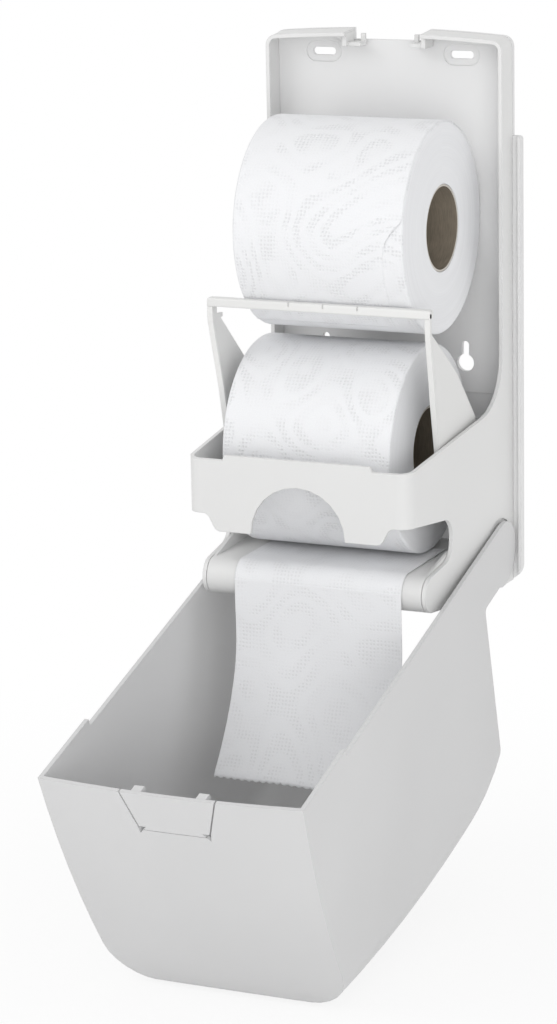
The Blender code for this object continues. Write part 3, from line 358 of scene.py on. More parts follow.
def swing_flap(name, flap, finishes):
    """The flap: its bar between two flat arms that widen down to the hinge.

    Each arm is a web between two curves in (depth, height), given here in millimetres from the
    pivot, and a rib that follows its front edge. The left arm has a small hook at the top of its
    back edge, which the right arm is without.
    """
    low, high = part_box("flap")
    pivot = middle_of("flap_pin_left")
    top = high.z - flap.bar_drop
    half = high.x
    back = np.array([(54.8, 92.5), (54.2, 84.6), (47.2, 84.3), (47.2, 82.2), (49.8, 81.8),
                     (18.1, 53.0), (-8.7, 23.7), (-10.2, 14.0), (-10.0, 4.0), (-7.0, -4.5),
                     (-2.0, -8.4), (6.0, -9.0)]) / 1000
    front = np.array([(60.2, 92.5), (60.1, 84.6), (60.1, 84.3), (60.0, 82.2), (60.0, 81.8),
                      (52.4, 51.0), (45.2, 18.0), (43.2, 8.0), (40.4, 0.0), (35.0, -5.5),
                      (27.0, -7.6), (18.0, -8.4)]) / 1000
    place = np.array([-pivot.y, pivot.z])
    fine = np.concatenate([np.arange(5), np.linspace(5, len(back) - 1, 50)])
    step = np.arange(len(back))

    def curve(points):
        return np.stack([np.interp(fine, step, points[:, k]) for k in (0, 1)], axis=1) + place

    head_depth, web_inset, web_setback = 0.004, 0.0013, 0.0004
    plain = back.copy()
    plain[:5, 0] = front[:5, 0] - head_depth
    back, front, straight = curve(back), curve(front), curve(plain)
    behind = front - np.array([flap.rib_depth, 0.0])
    rib = slice(0, len(front) - 8)
    # Lower down the rib stands in from the flap's side, to stay clear of the frame.
    outer = np.interp(front[rib, 1] - pivot.z, [0.015, 0.045, 0.07],
                      [half - 0.0014, half - 0.0012, half])
    patches = flap_bar(flap, half, -low.y, top)
    for side in (1, -1):
        face = side * (half - web_inset)
        edge = back if side < 0 else straight
        patches += wall_between(edge, front - np.array([web_setback, 0.0]),
                                face - side * flap.web_wall, face)
        patches += wall_between(behind[rib], front[rib], side * (outer - flap.rib_width),
                                side * outer, 2)
    return close_up(make_piece(name, patches, finishes))


# Paper

def roll_profile(paper):
    """Section (across, radius) of a wound roll, from the bore, out over one end and back.

    The bore is straight, each end face runs straight out, and a quarter circle of the edge round
    joins it to the straight outside.
    """
    half = paper.roll_width / 2
    outer = paper.roll_radius - paper.ply_thickness
    bore = paper.core_radius + CORE_PLAY
    soft = paper.edge_round
    face = np.linspace(bore, outer - soft, 34)[1:-1]
    right = np.stack([np.full_like(face, half), face], axis=1)
    left = np.stack([np.full_like(face, -half), face[::-1]], axis=1)
    straight = np.linspace(half - soft, soft - half, 30)[1:-1]
    outside = np.stack([straight, np.full_like(straight, outer)], axis=1)
    inside = np.linspace(-half, half, 12)
    bored = np.stack([inside, np.full_like(inside, bore)], axis=1)
    return [
        (bored, 1),
        (right, 1),
        (corner_arc((half - soft, outer - soft), soft, 0, pi / 2, 7), 0),
        (outside, 0),
        (corner_arc((soft - half, outer - soft), soft, pi / 2, pi, 7), 0),
        (left, 1),
    ]


def wound_roll(name, paper, centre, finishes, seed):
    """Roll of tissue: the section turned about X, a little uneven as wound paper is.

    Each end face sinks by noise over the radius and is hollow by a low parabola between core and
    rim. The outside sinks by a slow noise over the turn.
    """
    section = roll_profile(paper)
    profile = np.concatenate([part for part, _ in section])
    index = np.concatenate([np.full(len(part), finish) for part, finish in section])
    half = paper.roll_width / 2
    layer_depth, hollow, uneven = 0.00007, 0.0006, 0.00012
    turn = np.linspace(0, tau, paper.around, endpoint=False)
    across, radius = (np.repeat(profile[:, k:k + 1], paper.around, axis=1) for k in (0, 1))
    share = (radius - paper.core_radius) / (paper.roll_radius - paper.core_radius)
    on_end = np.clip((np.abs(across) - half + paper.edge_round) / paper.edge_round, 0, 1)
    layers = even_noise(len(profile), 1, seed)[:, None] * layer_depth
    slow = even_noise(paper.around, paper.around // 14, seed + 1)[None, :]
    across = across - np.sign(across) * on_end * (np.abs(layers) + hollow * share * (1 - share))
    sunk = np.clip((share - 0.9) * 10, 0, 1) * (uneven + uneven * slow)
    points = round_x(centre, across, radius - sunk, turn)
    run = along(np.concatenate([profile, profile[:1]]))
    u = np.linspace(0, tau * paper.roll_radius, paper.around + 1)
    wound = patch(points, wrap_rows=True, wrap_columns=True, uv=uv_grid(u, run))
    piece = make_piece(name, [wound], finishes, radians(60))
    faces = np.repeat(index, paper.around).astype(np.int32)
    piece.data.polygons.foreach_set("material_index", faces)
    return piece


def card_core(name, paper, centre, finishes):
    """Card tube, wound on a slant: its bore has a small step along a spiral seam.

    The bore's radius rises at the seam and then falls back evenly over one turn. The seam's turn
    grows evenly with the distance across. The outside is plain.
    """
    short, slim = 0.0003, 0.0001
    pitch, seam_step, seam_rise = 0.09, 0.00012, 14
    half = paper.roll_width / 2 - short
    outer = paper.core_radius
    inner = outer - paper.core_wall
    width = np.linspace(-half, half, 40)
    turn = np.linspace(0, tau, paper.around, endpoint=False)
    grid_width, grid_turn = np.meshgrid(width, turn, indexing="ij")
    ramp = (grid_turn / tau + grid_width / pitch) % 1.0
    step = seam_step * np.clip(ramp * seam_rise, 0, 1) * (1 - ramp)
    outside = round_x(centre, grid_width, outer - slim, grid_turn)
    inside = round_x(centre, grid_width, inner + step, grid_turn)
    points = np.concatenate([inside, outside[::-1]])
    section = np.concatenate([width, width[::-1] + 2 * half + paper.core_wall])
    v = np.concatenate([section, section[-1:] + paper.core_wall])
    u = np.linspace(0, tau * outer, paper.around + 1)
    tube = patch(points, wrap_rows=True, wrap_columns=True, uv=uv_grid(u, v))
    piece = make_piece(name, [tube], finishes, radians(35))
    count = len(width)
    rims = np.zeros((2 * count, paper.around), np.int32)
    rims[count - 1] = 1
    rims[-1] = 1
    piece.data.polygons.foreach_set("material_index", rims.ravel())
    return piece


def sheet_piece(name, points, u, v, finishes, thickness):
    """Thin sheet on a grid of points, with a Solidify modifier for its thickness."""
    piece = make_piece(name, [patch(points, uv=uv_grid(u, v))], finishes)
    wall = piece.modifiers.new("paper_thickness", 'SOLIDIFY')
    wall.thickness = thickness
    wall.offset = 0.0
    wall.use_even_offset = True
    return piece


def lifted(path, lift):
    """Depth and height of a path in (depth, height), moved along its unit normals by a lift."""
    direction = np.gradient(path, axis=0)
    direction /= np.linalg.norm(direction, axis=1)[:, None]
    return (path[:, 0][:, None] - direction[:, 1][:, None] * lift,
            path[:, 1][:, None] + direction[:, 0][:, None] * lift)


def hanging_path():
    """Middle line (depth, height) of the hanging sheet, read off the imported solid's box.

    It falls straight for its first 25 mm and then kicks out by a square law.
    """
    low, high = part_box("paper_tail")
    top = high.z
    near = -high.y + HALF_SHEET
    kick = (high.y - low.y) - 2 * HALF_SHEET
    drop = top - low.z
    straight = 0.025
    fall = np.linspace(0, drop, 110)
    share = np.clip((fall - straight) / (drop - straight), 0, 1)
    return np.stack([near + kick * share**2, top - fall], axis=1)


def sheet_length(piece):
    """Length of a sheet, from the UV map that runs along it."""
    corners = piece.data.uv_layers["sheet"].data
    uv = np.zeros(len(corners) * 2, np.float32)
    corners.foreach_get("uv", uv)
    return float(uv[1::2].max() - uv[1::2].min())


def paper_end(name, paper, finishes):
    """Hanging sheet: the middle line carried across the paper's width.

    A point leaves the middle line along its normal by two slow waves across and down the sheet
    and a light curl of both sides, all of which grow from nothing at the nose. The lower edge
    is torn: the sheet is raised a little, and its last rows drop by a small triangle wave with
    seeded unevenness.
    """
    path = hanging_path()
    low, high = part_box("paper_tail")
    x = np.linspace(low.x, high.x, 281)
    share = np.linspace(0, 1, len(path))[:, None]
    place = (x - (low.x + high.x) / 2) / (high.x - low.x)
    wide, narrow, curled, shifted = 0.0011, 0.0005, 0.008, 0.0012
    tooth_depth, uneven, raised = 0.0009, 0.0005, 0.0014
    wave = (wide * np.sin(tau * (0.9 * place + 0.35 * share + 0.12))
            + narrow * np.sin(tau * (2.3 * place - 0.6 * share)))
    curl = curled * np.abs(place) ** 5
    lift = (wave + curl) * np.clip(share * 2.2, 0, 1) ** 1.5
    depth, height = lifted(path, lift)
    rough = np.random.default_rng(5).uniform(0.55, 1.0, len(x))
    tooth = np.abs(((x / paper.tooth) % 1.0) - 0.5) * 2
    low_rows = np.clip((share - 0.985) / 0.015, 0, 1)
    torn = (tooth_depth * tooth + uneven * rough)[None, :] * low_rows
    height = height + raised - torn * 1.2
    grid_x = np.broadcast_to(x[None, :] + shifted * share**2, depth.shape)
    points = np.stack([grid_x, -depth, height], axis=-1)
    return sheet_piece(name, points, x, along(path), finishes, paper.ply_thickness)


def paper_over_nose(name, paper, finishes):
    """First sheet: along the chute, then round the nose on an arc, to the perforation."""
    low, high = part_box("paper_lead")
    top = high.z - HALF_SHEET
    reach = -low.y - HALF_SHEET
    radius = NOSE_RADIUS + NOSE_AIR
    flat = np.linspace(-high.y, reach - radius, 40)
    level = np.stack([flat, np.full_like(flat, top)], axis=1)
    round_part = corner_arc((reach - radius, top - radius), radius, pi / 2, radians(2), 26)[1:]
    path = np.concatenate([level, round_part])
    x = np.linspace(low.x, high.x, 141)
    share = np.linspace(0, 1, len(path))[:, None]
    ripple_size = 0.00016
    waves = 3.1 * (x / paper.roll_width) + 0.4 * share
    ripple = ripple_size * np.sin(tau * waves) * np.sin(pi * share)
    depth, height = lifted(path, np.abs(ripple))
    points = np.stack([np.broadcast_to(x[None, :], depth.shape), -depth, height], axis=-1)
    return sheet_piece(name, points, x, along(path), finishes, paper.ply_thickness)


def loose_ply(name, paper, centre, finishes):
    """Outer sheet of the upper roll, torn on a slant near its right end.

    A point is on the roll's circle, just outside the wound paper. The sheet's right side follows
    the roll's end down to the tear, then runs inwards on the slant. Its edge lifts a little at the
    tear and sinks into the roll further down, as the sheet's rear end does.
    """
    half = paper.roll_width / 2
    rear, front = -50, 150
    left_gap, right_gap, ragged, lifting, sunk = 0.0004, 0.0003, 0.00035, 0.0002, 0.00025
    turn = np.radians(np.linspace(rear, front, 190))
    degrees = np.degrees(turn)
    right = np.interp(degrees, [rear, 76, 79, 84, 90, 100, front],
                      [half, half, half - 0.0012, half - 0.006, half - 0.0095, half - 0.0112,
                       half - 0.0128])
    right = right + ragged * even_noise(len(turn), 2, 9) * (degrees > 78)
    share = np.linspace(0, 1, 150)[None, :]
    across = -half + left_gap + (right[:, None] - right_gap + half - left_gap) * share
    torn = np.interp(degrees, [74, 79, 88, 97], [0.0, 1.0, 0.8, -1.6])
    lift = lifting * torn[:, None] * np.clip((share - 0.93) / 0.07, 0, 1) ** 2
    end = np.clip((degrees - rear) / 12, 0, 1)[:, None]
    drop = np.clip((half - np.abs(across)) / paper.edge_round, 0, 1)
    rim = paper.edge_round * (1 - np.sqrt(np.clip(1 - (1 - drop) ** 2, 0, 1)))
    radius = paper.roll_radius - 0.0001 + lift - sunk * (1 - end) - rim
    points = round_x(centre, across, radius, turn[:, None])
    return sheet_piece(name, points, across[0] + half, turn * paper.roll_radius, finishes, 0.0002)


# Finishes

def fill(tree, node, inputs):
    """Gives inputs of a node, by name or number, a value or a link from another node's output."""
    for key, value in inputs.items():
        if isinstance(value, bpy.types.NodeSocket):
            tree.links.new(value, node.inputs[key])
        else:
            node.inputs[key].default_value = value


def add(tree, kind, place, inputs=None, **settings):
    """Adds a node at a place in the tree, sets it up and fills its inputs."""
    made = tree.nodes.new(kind)
    made.location = (place[0] * NODE_STEP, place[1] * NODE_STEP)
    for key, value in settings.items():
        setattr(made, key, value)
    fill(tree, made, inputs or {})
    return made


def number(tree, operation, place, *values):
    """Output of a Math node over numbers and the outputs of other nodes."""
    return add(tree, 'ShaderNodeMath', place, dict(enumerate(values)),
               operation=operation).outputs[0]


def remap(tree, place, value, start, end, low, high, course='LINEAR'):
    """Output of a Map Range node: a value from start to end becomes one from low to high."""
    return add(tree, 'ShaderNodeMapRange', place,
               {'Value': value, 'From Min': start, 'From Max': end, 'To Min': low,
                'To Max': high}, interpolation_type=course).outputs['Result']


def noise(tree, place, vector, scale, detail=2.0, roughness=0.5, dimensions='3D'):
    """Value of a Noise Texture."""
    return add(tree, 'ShaderNodeTexNoise', place,
               {'Vector': vector, 'Scale': scale, 'Detail': detail, 'Roughness': roughness},
               noise_dimensions=dimensions).outputs['Fac']


def scaled(tree, place, colour, factor):
    """Colour times a factor."""
    return add(tree, 'ShaderNodeVectorMath', place, {0: colour, 'Scale': factor},
               operation='SCALE').outputs['Vector']


def blend(tree, place, factor, first, second):
    """Colour that goes from the first to the second with the factor."""
    return add(tree, 'ShaderNodeMix', place, {'Factor': factor, 'A': first, 'B': second},
               data_type='RGBA').outputs['Result']


def bump(tree, place, height, distance, **more):
    """Normal that leans by a height, with any other inputs of the Bump node."""
    inputs = {'Strength': 1.0, 'Distance': distance, 'Height': height}
    return add(tree, 'ShaderNodeBump', place, {**inputs, **more}).outputs['Normal']


def sheet_place(tree):
    """Place on the piece's own UV map."""
    return add(tree, 'ShaderNodeUVMap', (-7, 0), uv_map="sheet").outputs['UV']


def stretched(tree, place, vector, scale, turn=0.0):
    """Vector turned about Z and scaled."""
    return add(tree, 'ShaderNodeMapping', place,
               {'Vector': vector, 'Rotation': (0, 0, turn), 'Scale': scale}).outputs[0]


def new_group(name, takes, gives, sort='ShaderNodeTree'):
    """Node group with inputs as name: (kind, default) and outputs as name: kind."""
    tree = bpy.data.node_groups.new(name, sort)
    for label, (kind, default) in takes.items():
        socket = tree.interface.new_socket(label, in_out='INPUT', socket_type='NodeSocket' + kind)
        if default is not None:
            socket.default_value = default
    for label, kind in gives.items():
        tree.interface.new_socket(label, in_out='OUTPUT', socket_type='NodeSocket' + kind)
    return tree, tree.nodes.new('NodeGroupInput'), tree.nodes.new('NodeGroupOutput')


def moulded_surface():
    """Group for moulded plastic: rounded edges, fine grain, slow tone, and edges paler for wear
    and as a painted highlight where rounded edges catch light.
    """
    tree, given, result = new_group(
        "moulded_surface",
        {'Colour': ('Color', (0.65, 0.65, 0.65, 1)), 'Edge Colour': ('Color', (0.8, 0.8, 0.8, 1)),
         'Edge Radius': ('Float', 0.0006), 'Grain Size': ('Float', 0.0007),
         'Grain Depth': ('Float', 0.00001), 'Roughness': ('Float', 0.42)},
        {'Colour': 'Color', 'Roughness': 'Float', 'Normal': 'Vector'})
    where = add(tree, 'ShaderNodeTexCoord', (0, 0)).outputs['Object']
    rounded = add(tree, 'ShaderNodeBevel', (1, 2), {'Radius': given.outputs['Edge Radius']},
                  samples=6).outputs[0]
    flat = add(tree, 'ShaderNodeNewGeometry', (1, 3))
    turn = add(tree, 'ShaderNodeVectorMath', (2, 3), {0: rounded, 1: flat.outputs['Normal']},
               operation='DOT_PRODUCT')
    # Edges, where the rounded normal turns from the flat one, are blended to the paler colour:
    # partly wear, partly a painted highlight where rounded edges catch light.
    edge = remap(tree, (3, 3), turn.outputs['Value'], 0.995, 0.80, 0.0, 0.55)
    tone = remap(tree, (2, 0), noise(tree, (1, 0), where, 9.0), 0.3, 0.7, 0.975, 1.015)
    toned = scaled(tree, (3, 0), given.outputs['Colour'], tone)
    worn_and_highlit = blend(tree, (4, 1), edge, toned, given.outputs['Edge Colour'])
    fineness = number(tree, 'DIVIDE', (1, -1), 1.0, given.outputs['Grain Size'])
    grain = noise(tree, (2, -1), where, fineness)
    normal = bump(tree, (3, -1), grain, given.outputs['Grain Depth'], Normal=rounded)
    patchy = remap(tree, (3, -2), grain, 0.3, 0.7, -0.04, 0.05)
    rough = number(tree, 'ADD', (4, -2), given.outputs['Roughness'], patchy)
    fill(tree, result, {'Colour': worn_and_highlit, 'Roughness': rough, 'Normal': normal})
    return tree


def quilted_paper():
    """Group for pressed tissue: faint dots, kept to bands along the contours of a slow noise, and
    their mask for a painted shade in the dots.
    """
    tree, given, result = new_group(
        "quilted_paper",
        {'Place': ('Vector', (0, 0, 0)), 'Cell': ('Float', 0.045), 'Ring': ('Float', 0.0062),
         'Dot': ('Float', 0.0021)},
        {'Height': 'Float', 'Pressed Dot Shade': 'Float', 'Fibre': 'Float'})
    place, cell, ring, dot = (given.outputs[k] for k in ("Place", "Cell", "Ring", "Dot"))
    hills = noise(tree, (3, 1), place, number(tree, 'DIVIDE', (1, 2), 1.0, cell), 0.0,
                  dimensions='2D')
    rows = number(tree, 'DIVIDE', (4, 2), cell, ring)
    phase = number(tree, 'MULTIPLY', (5, 1), hills, rows)
    waves = number(tree, 'SINE', (7, 1), number(tree, 'MULTIPLY', (6, 1), phase, tau))
    band = remap(tree, (8, 1), waves, -0.6, 0.3, 0.0, 1.0, 'SMOOTHSTEP')
    dots = add(tree, 'ShaderNodeTexVoronoi', (3, -1),
               {'Vector': place, 'Scale': number(tree, 'DIVIDE', (1, -1), 1.0, dot),
                'Randomness': 0.2}, voronoi_dimensions='2D', feature='F1')
    spot = remap(tree, (4, -1), dots.outputs['Distance'], 0.15, 0.40, 1.0, 0.0, 'SMOOTHSTEP')
    fields = noise(tree, (4, 3), place, 55.0, 1.0, dimensions='2D')
    field = remap(tree, (5, 3), fields, 0.38, 0.6, 0.25, 1.0, 'SMOOTHSTEP')
    dotted = number(tree, 'MULTIPLY', (9, 0), band, spot)
    pressed = number(tree, 'MULTIPLY', (10, 1), dotted, field)
    fibre = noise(tree, (3, -2), place, 1400.0, 3.0, 0.6)
    pillow = noise(tree, (3, -3), place, 260.0)
    raised = number(tree, 'SUBTRACT', (11, 0), 1.0, pressed)
    fuzzy = number(tree, 'MULTIPLY_ADD', (12, -1), fibre, 0.25, raised)
    puffy = number(tree, 'MULTIPLY_ADD', (13, -1), pillow, 0.45, fuzzy)
    fill(tree, result, {'Height': puffy, 'Pressed Dot Shade': pressed, 'Fibre': fibre})
    return tree


def new_material(name):
    """Material with a Principled shader. Gives the material, its tree and the shader."""
    material = bpy.data.materials.new(name)
    material.use_nodes = True
    return material, material.node_tree, material.node_tree.nodes['Principled BSDF']


def plastic(name, colour, settings):
    """Satin moulded plastic from the shared surface group, its edges paler for wear and as a
    painted highlight.
    """
    material, tree, shader = new_material(name)
    # The edge colour is paler than the plastic: partly wear, partly a painted highlight on rounded
    # edges.
    paler, palest = 0.30, 0.95
    edge = tuple(c + (palest - c) * paler for c in colour[:3]) + (1.0,)
    surface = add(tree, 'ShaderNodeGroup', (-2, 1),
                  {'Colour': colour[:], 'Edge Colour': edge,
                   'Edge Radius': settings.edge_radius, 'Grain Size': settings.grain_size,
                   'Grain Depth': settings.grain_depth, 'Roughness': settings.roughness},
                  node_tree=group(moulded_surface)).outputs
    fill(tree, shader, {'Base Color': surface['Colour'], 'Roughness': surface['Roughness'],
                        'Normal': surface['Normal'], 'Specular IOR Level': 0.42, 'IOR': 1.46})
    return material


def tissue(name, paper, depth):
    """Soft tissue with pressed dots: its tone a little lower in the dots, as painted shade in
    their hollows, and along fibres.
    """
    material, tree, shader = new_material(name)
    quilt = add(tree, 'ShaderNodeGroup', (-5, 0),
                {'Place': sheet_place(tree), 'Cell': paper.quilt_cell, 'Ring': paper.quilt_ring,
                 'Dot': paper.quilt_dot}, node_tree=group(quilted_paper)).outputs
    # The dots are darkened by this share: painted shade in the pressed hollows.
    dot_shade_share = 0.065
    low = tuple(c * (1 - dot_shade_share) for c in paper.colour[:3]) + (1.0,)
    shade = blend(tree, (-3, 1), quilt['Pressed Dot Shade'], paper.colour[:], low)
    thread = remap(tree, (-3, 0), quilt['Fibre'], 0.3, 0.7, 0.975, 1.02)
    fill(tree, shader, {'Base Color': scaled(tree, (-2, 1), shade, thread),
                        'Normal': bump(tree, (-2, -1), quilt['Height'], depth),
                        'Roughness': 1.0, 'Specular IOR Level': 0.15, 'Sheen Weight': 0.08,
                        'Sheen Roughness': 0.6})
    return material


def wound_edges(name, colour):
    """End of a roll: many fine layers seen on edge, drawn as rings with a slow drift."""
    material, tree, shader = new_material(name)
    flat = sheet_place(tree)
    fine = noise(tree, (-5, 0), stretched(tree, (-6, 0), flat, (6, 2600, 1)), 1.0, 1.0)
    slow = noise(tree, (-5, -1), stretched(tree, (-6, -1), flat, (9, 260, 1)), 1.0)
    tone = remap(tree, (-4, 0), fine, 0.3, 0.7, 0.965, 1.015)
    drift = remap(tree, (-4, -1), slow, 0.3, 0.7, 0.98, 1.01)
    both = number(tree, 'MULTIPLY', (-3, 0), tone, drift)
    fill(tree, shader, {'Base Color': scaled(tree, (-2, 1), colour[:3], both),
                        'Normal': bump(tree, (-2, -1), fine, 0.00006, Strength=0.8),
                        'Roughness': 1.0, 'Specular IOR Level': 0.1})
    return material


def card(name, colour):
    """Grey-brown card: long fibres on a slant, and the winding's dark seam."""
    material, tree, shader = new_material(name)
    flat = sheet_place(tree)
    slant = stretched(tree, (-6, 0), flat, (160, 1500, 1), radians(32))
    fibre = noise(tree, (-5, 0), slant, 1.0, 3.0)
    blotch = noise(tree, (-5, -1), flat, 120.0)
    seam = add(tree, 'ShaderNodeTexWave', (-5, 1),
               {'Vector': stretched(tree, (-6, 1), flat, (1, 1, 1), radians(58)),
                'Scale': 7.0, 'Distortion': 0.4}, wave_type='BANDS', wave_profile='SAW')
    line = remap(tree, (-4, 1), seam.outputs['Fac'], 0.0, 0.05, 0.72, 1.0)
    tone = remap(tree, (-4, 0), fibre, 0.3, 0.7, 0.86, 1.12)
    patchy = remap(tree, (-4, -1), blotch, 0.3, 0.7, 0.93, 1.06)
    first = number(tree, 'MULTIPLY', (-3, 0), tone, patchy)
    second = number(tree, 'MULTIPLY', (-3, 1), first, line)
    fill(tree, shader, {'Base Color': scaled(tree, (-2, 1), colour[:3], second),
                        'Normal': bump(tree, (-2, -1), fibre, 0.00008),
                        'Roughness': 0.9, 'Specular IOR Level': 0.25})
    return material


def plated_steel(name, colour):
    """Zinc-plated steel with a fine grain."""
    material, tree, shader = new_material(name)
    where = add(tree, 'ShaderNodeTexCoord', (-6, 0)).outputs['Object']
    grain = noise(tree, (-5, 0), where, 2500.0)
    tone = remap(tree, (-4, 0), grain, 0.0, 1.0, 0.28, 0.42)
    shine = remap(tree, (-4, 1), grain, 0.0, 1.0, 0.9, 1.08)
    fill(tree, shader, {'Base Color': scaled(tree, (-3, 1), colour[:3], shine),
                        'Roughness': tone, 'Metallic': 1.0})
    return material


def white_share(tree):
    """1 for camera, glossy and transmission rays, which see the studio white, and else 0."""
    ray = add(tree, 'ShaderNodeLightPath', (-4, 2))
    seen = number(tree, 'MAXIMUM', (-3, 2), ray.outputs['Is Camera Ray'],
                  ray.outputs['Is Glossy Ray'])
    return number(tree, 'MAXIMUM', (-2, 2), seen, ray.outputs['Is Transmission Ray'])


def group(maker):
    """The node group that has its maker's name, built the first time it is asked for."""
    return bpy.data.node_groups.get(maker.__name__) or maker()


def smooth_faces():
    """Geometry group: joins loose corners, and keeps an edge sharp only past an angle."""
    tree, given, result = new_group(
        "smooth_faces", {'Geometry': ('Geometry', None), 'Angle': ('Float', radians(32))},
        {'Geometry': 'Geometry'}, 'GeometryNodeTree')
    tree.interface.items_tree['Angle'].subtype = 'ANGLE'
    joined = add(tree, 'GeometryNodeMergeByDistance', (1, 0),
                 {'Geometry': given.outputs['Geometry'], 'Distance': WELD})
    between = add(tree, 'GeometryNodeInputMeshEdgeAngle', (1, -1))
    sharp = add(tree, 'FunctionNodeCompare', (2, -1),
                {0: between.outputs['Unsigned Angle'], 1: given.outputs['Angle']},
                data_type='FLOAT', operation='GREATER_THAN')
    shaded = add(tree, 'GeometryNodeSetMeshNormal', (3, 0),
                 {'Mesh': joined.outputs[0], 'Remove Custom': True,
                  'Edge Sharpness': sharp.outputs[0], 'Face Sharpness': False},
                 mode='SHARPNESS')
    tree.links.new(shaded.outputs[0], result.inputs[0])
    return tree


def dress(node, material):
    """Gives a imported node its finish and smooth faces. Its place and its corners stay."""
    piece = frame["nodes"][node]
    for holder in piece.material_slots:
        holder.link = 'OBJECT'
        holder.material = material
    shading = piece.modifiers.new("smooth_faces", 'NODES')
    shading.node_group = group(smooth_faces)
    return piece


# Operators

class DISPENSER_OT_housing(Operator):
    """Finish the back plate, the roll frame, the guide chute and the hinge pins"""
    bl_idname = "dispenser.housing"
    bl_label = "Housing"

    def execute(self, context):
        settings = context.scene.dispenser_plastic
        moulded = plastic("frame_plastic_satin", settings.frame_colour, settings)
        plate = plastic("plate_plastic_satin", settings.plate_colour, settings)
        for node in HOUSING_NODES:
            dress(node, plate if node == "back_plate" else moulded)
        steel = plated_steel("plated_screw_steel", settings.steel_colour)
        for node in SCREW_NODES:
            dress(node, steel)
        return {'FINISHED'}


class DISPENSER_OT_cover(Operator):
    """Finish the front cover and its latch tongue"""
    bl_idname = "dispenser.cover"
    bl_label = "Cover"

    def execute(self, context):
        settings = context.scene.dispenser_plastic
        moulded = plastic("cover_plastic_satin", settings.cover_colour, settings)
        for node in COVER_NODES:
            dress(node, moulded)
        return {'FINISHED'}


class DISPENSER_OT_flap(Operator):
    """Make the swinging flap: its bar and its two arms"""
    bl_idname = "dispenser.flap"
    bl_label = "Flap"

    def execute(self, context):
        settings = context.scene.dispenser_plastic
        satin = plastic("flap_plastic_satin", settings.flap_colour, settings)
        flap = swing_flap("roll_holding_flap", context.scene.dispenser_flap, [satin])
        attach(flap, "roll_flap")
        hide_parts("flap")
        return {'FINISHED'}


class DISPENSER_OT_rolls(Operator):
    """Wind both rolls and their card cores, and lay the torn outer sheet"""
    bl_idname = "dispenser.rolls"
    bl_label = "Rolls"

    def execute(self, context):
        paper = context.scene.dispenser_paper
        soft = tissue("roll_tissue", paper, paper.quilt_depth)
        ends = wound_edges("roll_ends", paper.colour)
        brown = card("core_card", paper.card_colour)
        cut = card("core_card_edge", paper.card_edge_colour)
        for word, seed in (("upper", 3), ("lower", 11)):
            node = word + "_roll_tissue"
            centre = middle_of(node)
            roll = wound_roll(word + "_roll_paper", paper, centre, [soft, ends], seed)
            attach(roll, word + "_roll")
            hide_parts(node)
            core = card_core(word + "_roll_card", paper, centre, [brown, cut])
            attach(core, word + "_roll")
            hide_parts(word + "_roll_core")
        ply = loose_ply("upper_roll_loose_sheet", paper, middle_of("upper_roll_tissue"), [soft])
        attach(ply, "upper_roll")
        return {'FINISHED'}


class DISPENSER_OT_paper_end(Operator):
    """Lay the paper over the guide nose and hang its end"""
    bl_idname = "dispenser.paper_end"
    bl_label = "Paper end"

    def execute(self, context):
        paper = context.scene.dispenser_paper
        single = tissue("single_tissue", paper, paper.quilt_depth * 0.5)
        lead = paper_over_nose("paper_over_nose", paper, [single])
        sheet_length(lead)
        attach(lead, "housing")
        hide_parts("paper_lead")
        tail = paper_end("paper_hanging_end", paper, [single])
        sheet_length(tail)
        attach(tail, "housing")
        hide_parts("paper_tail")
        return {'FINISHED'}


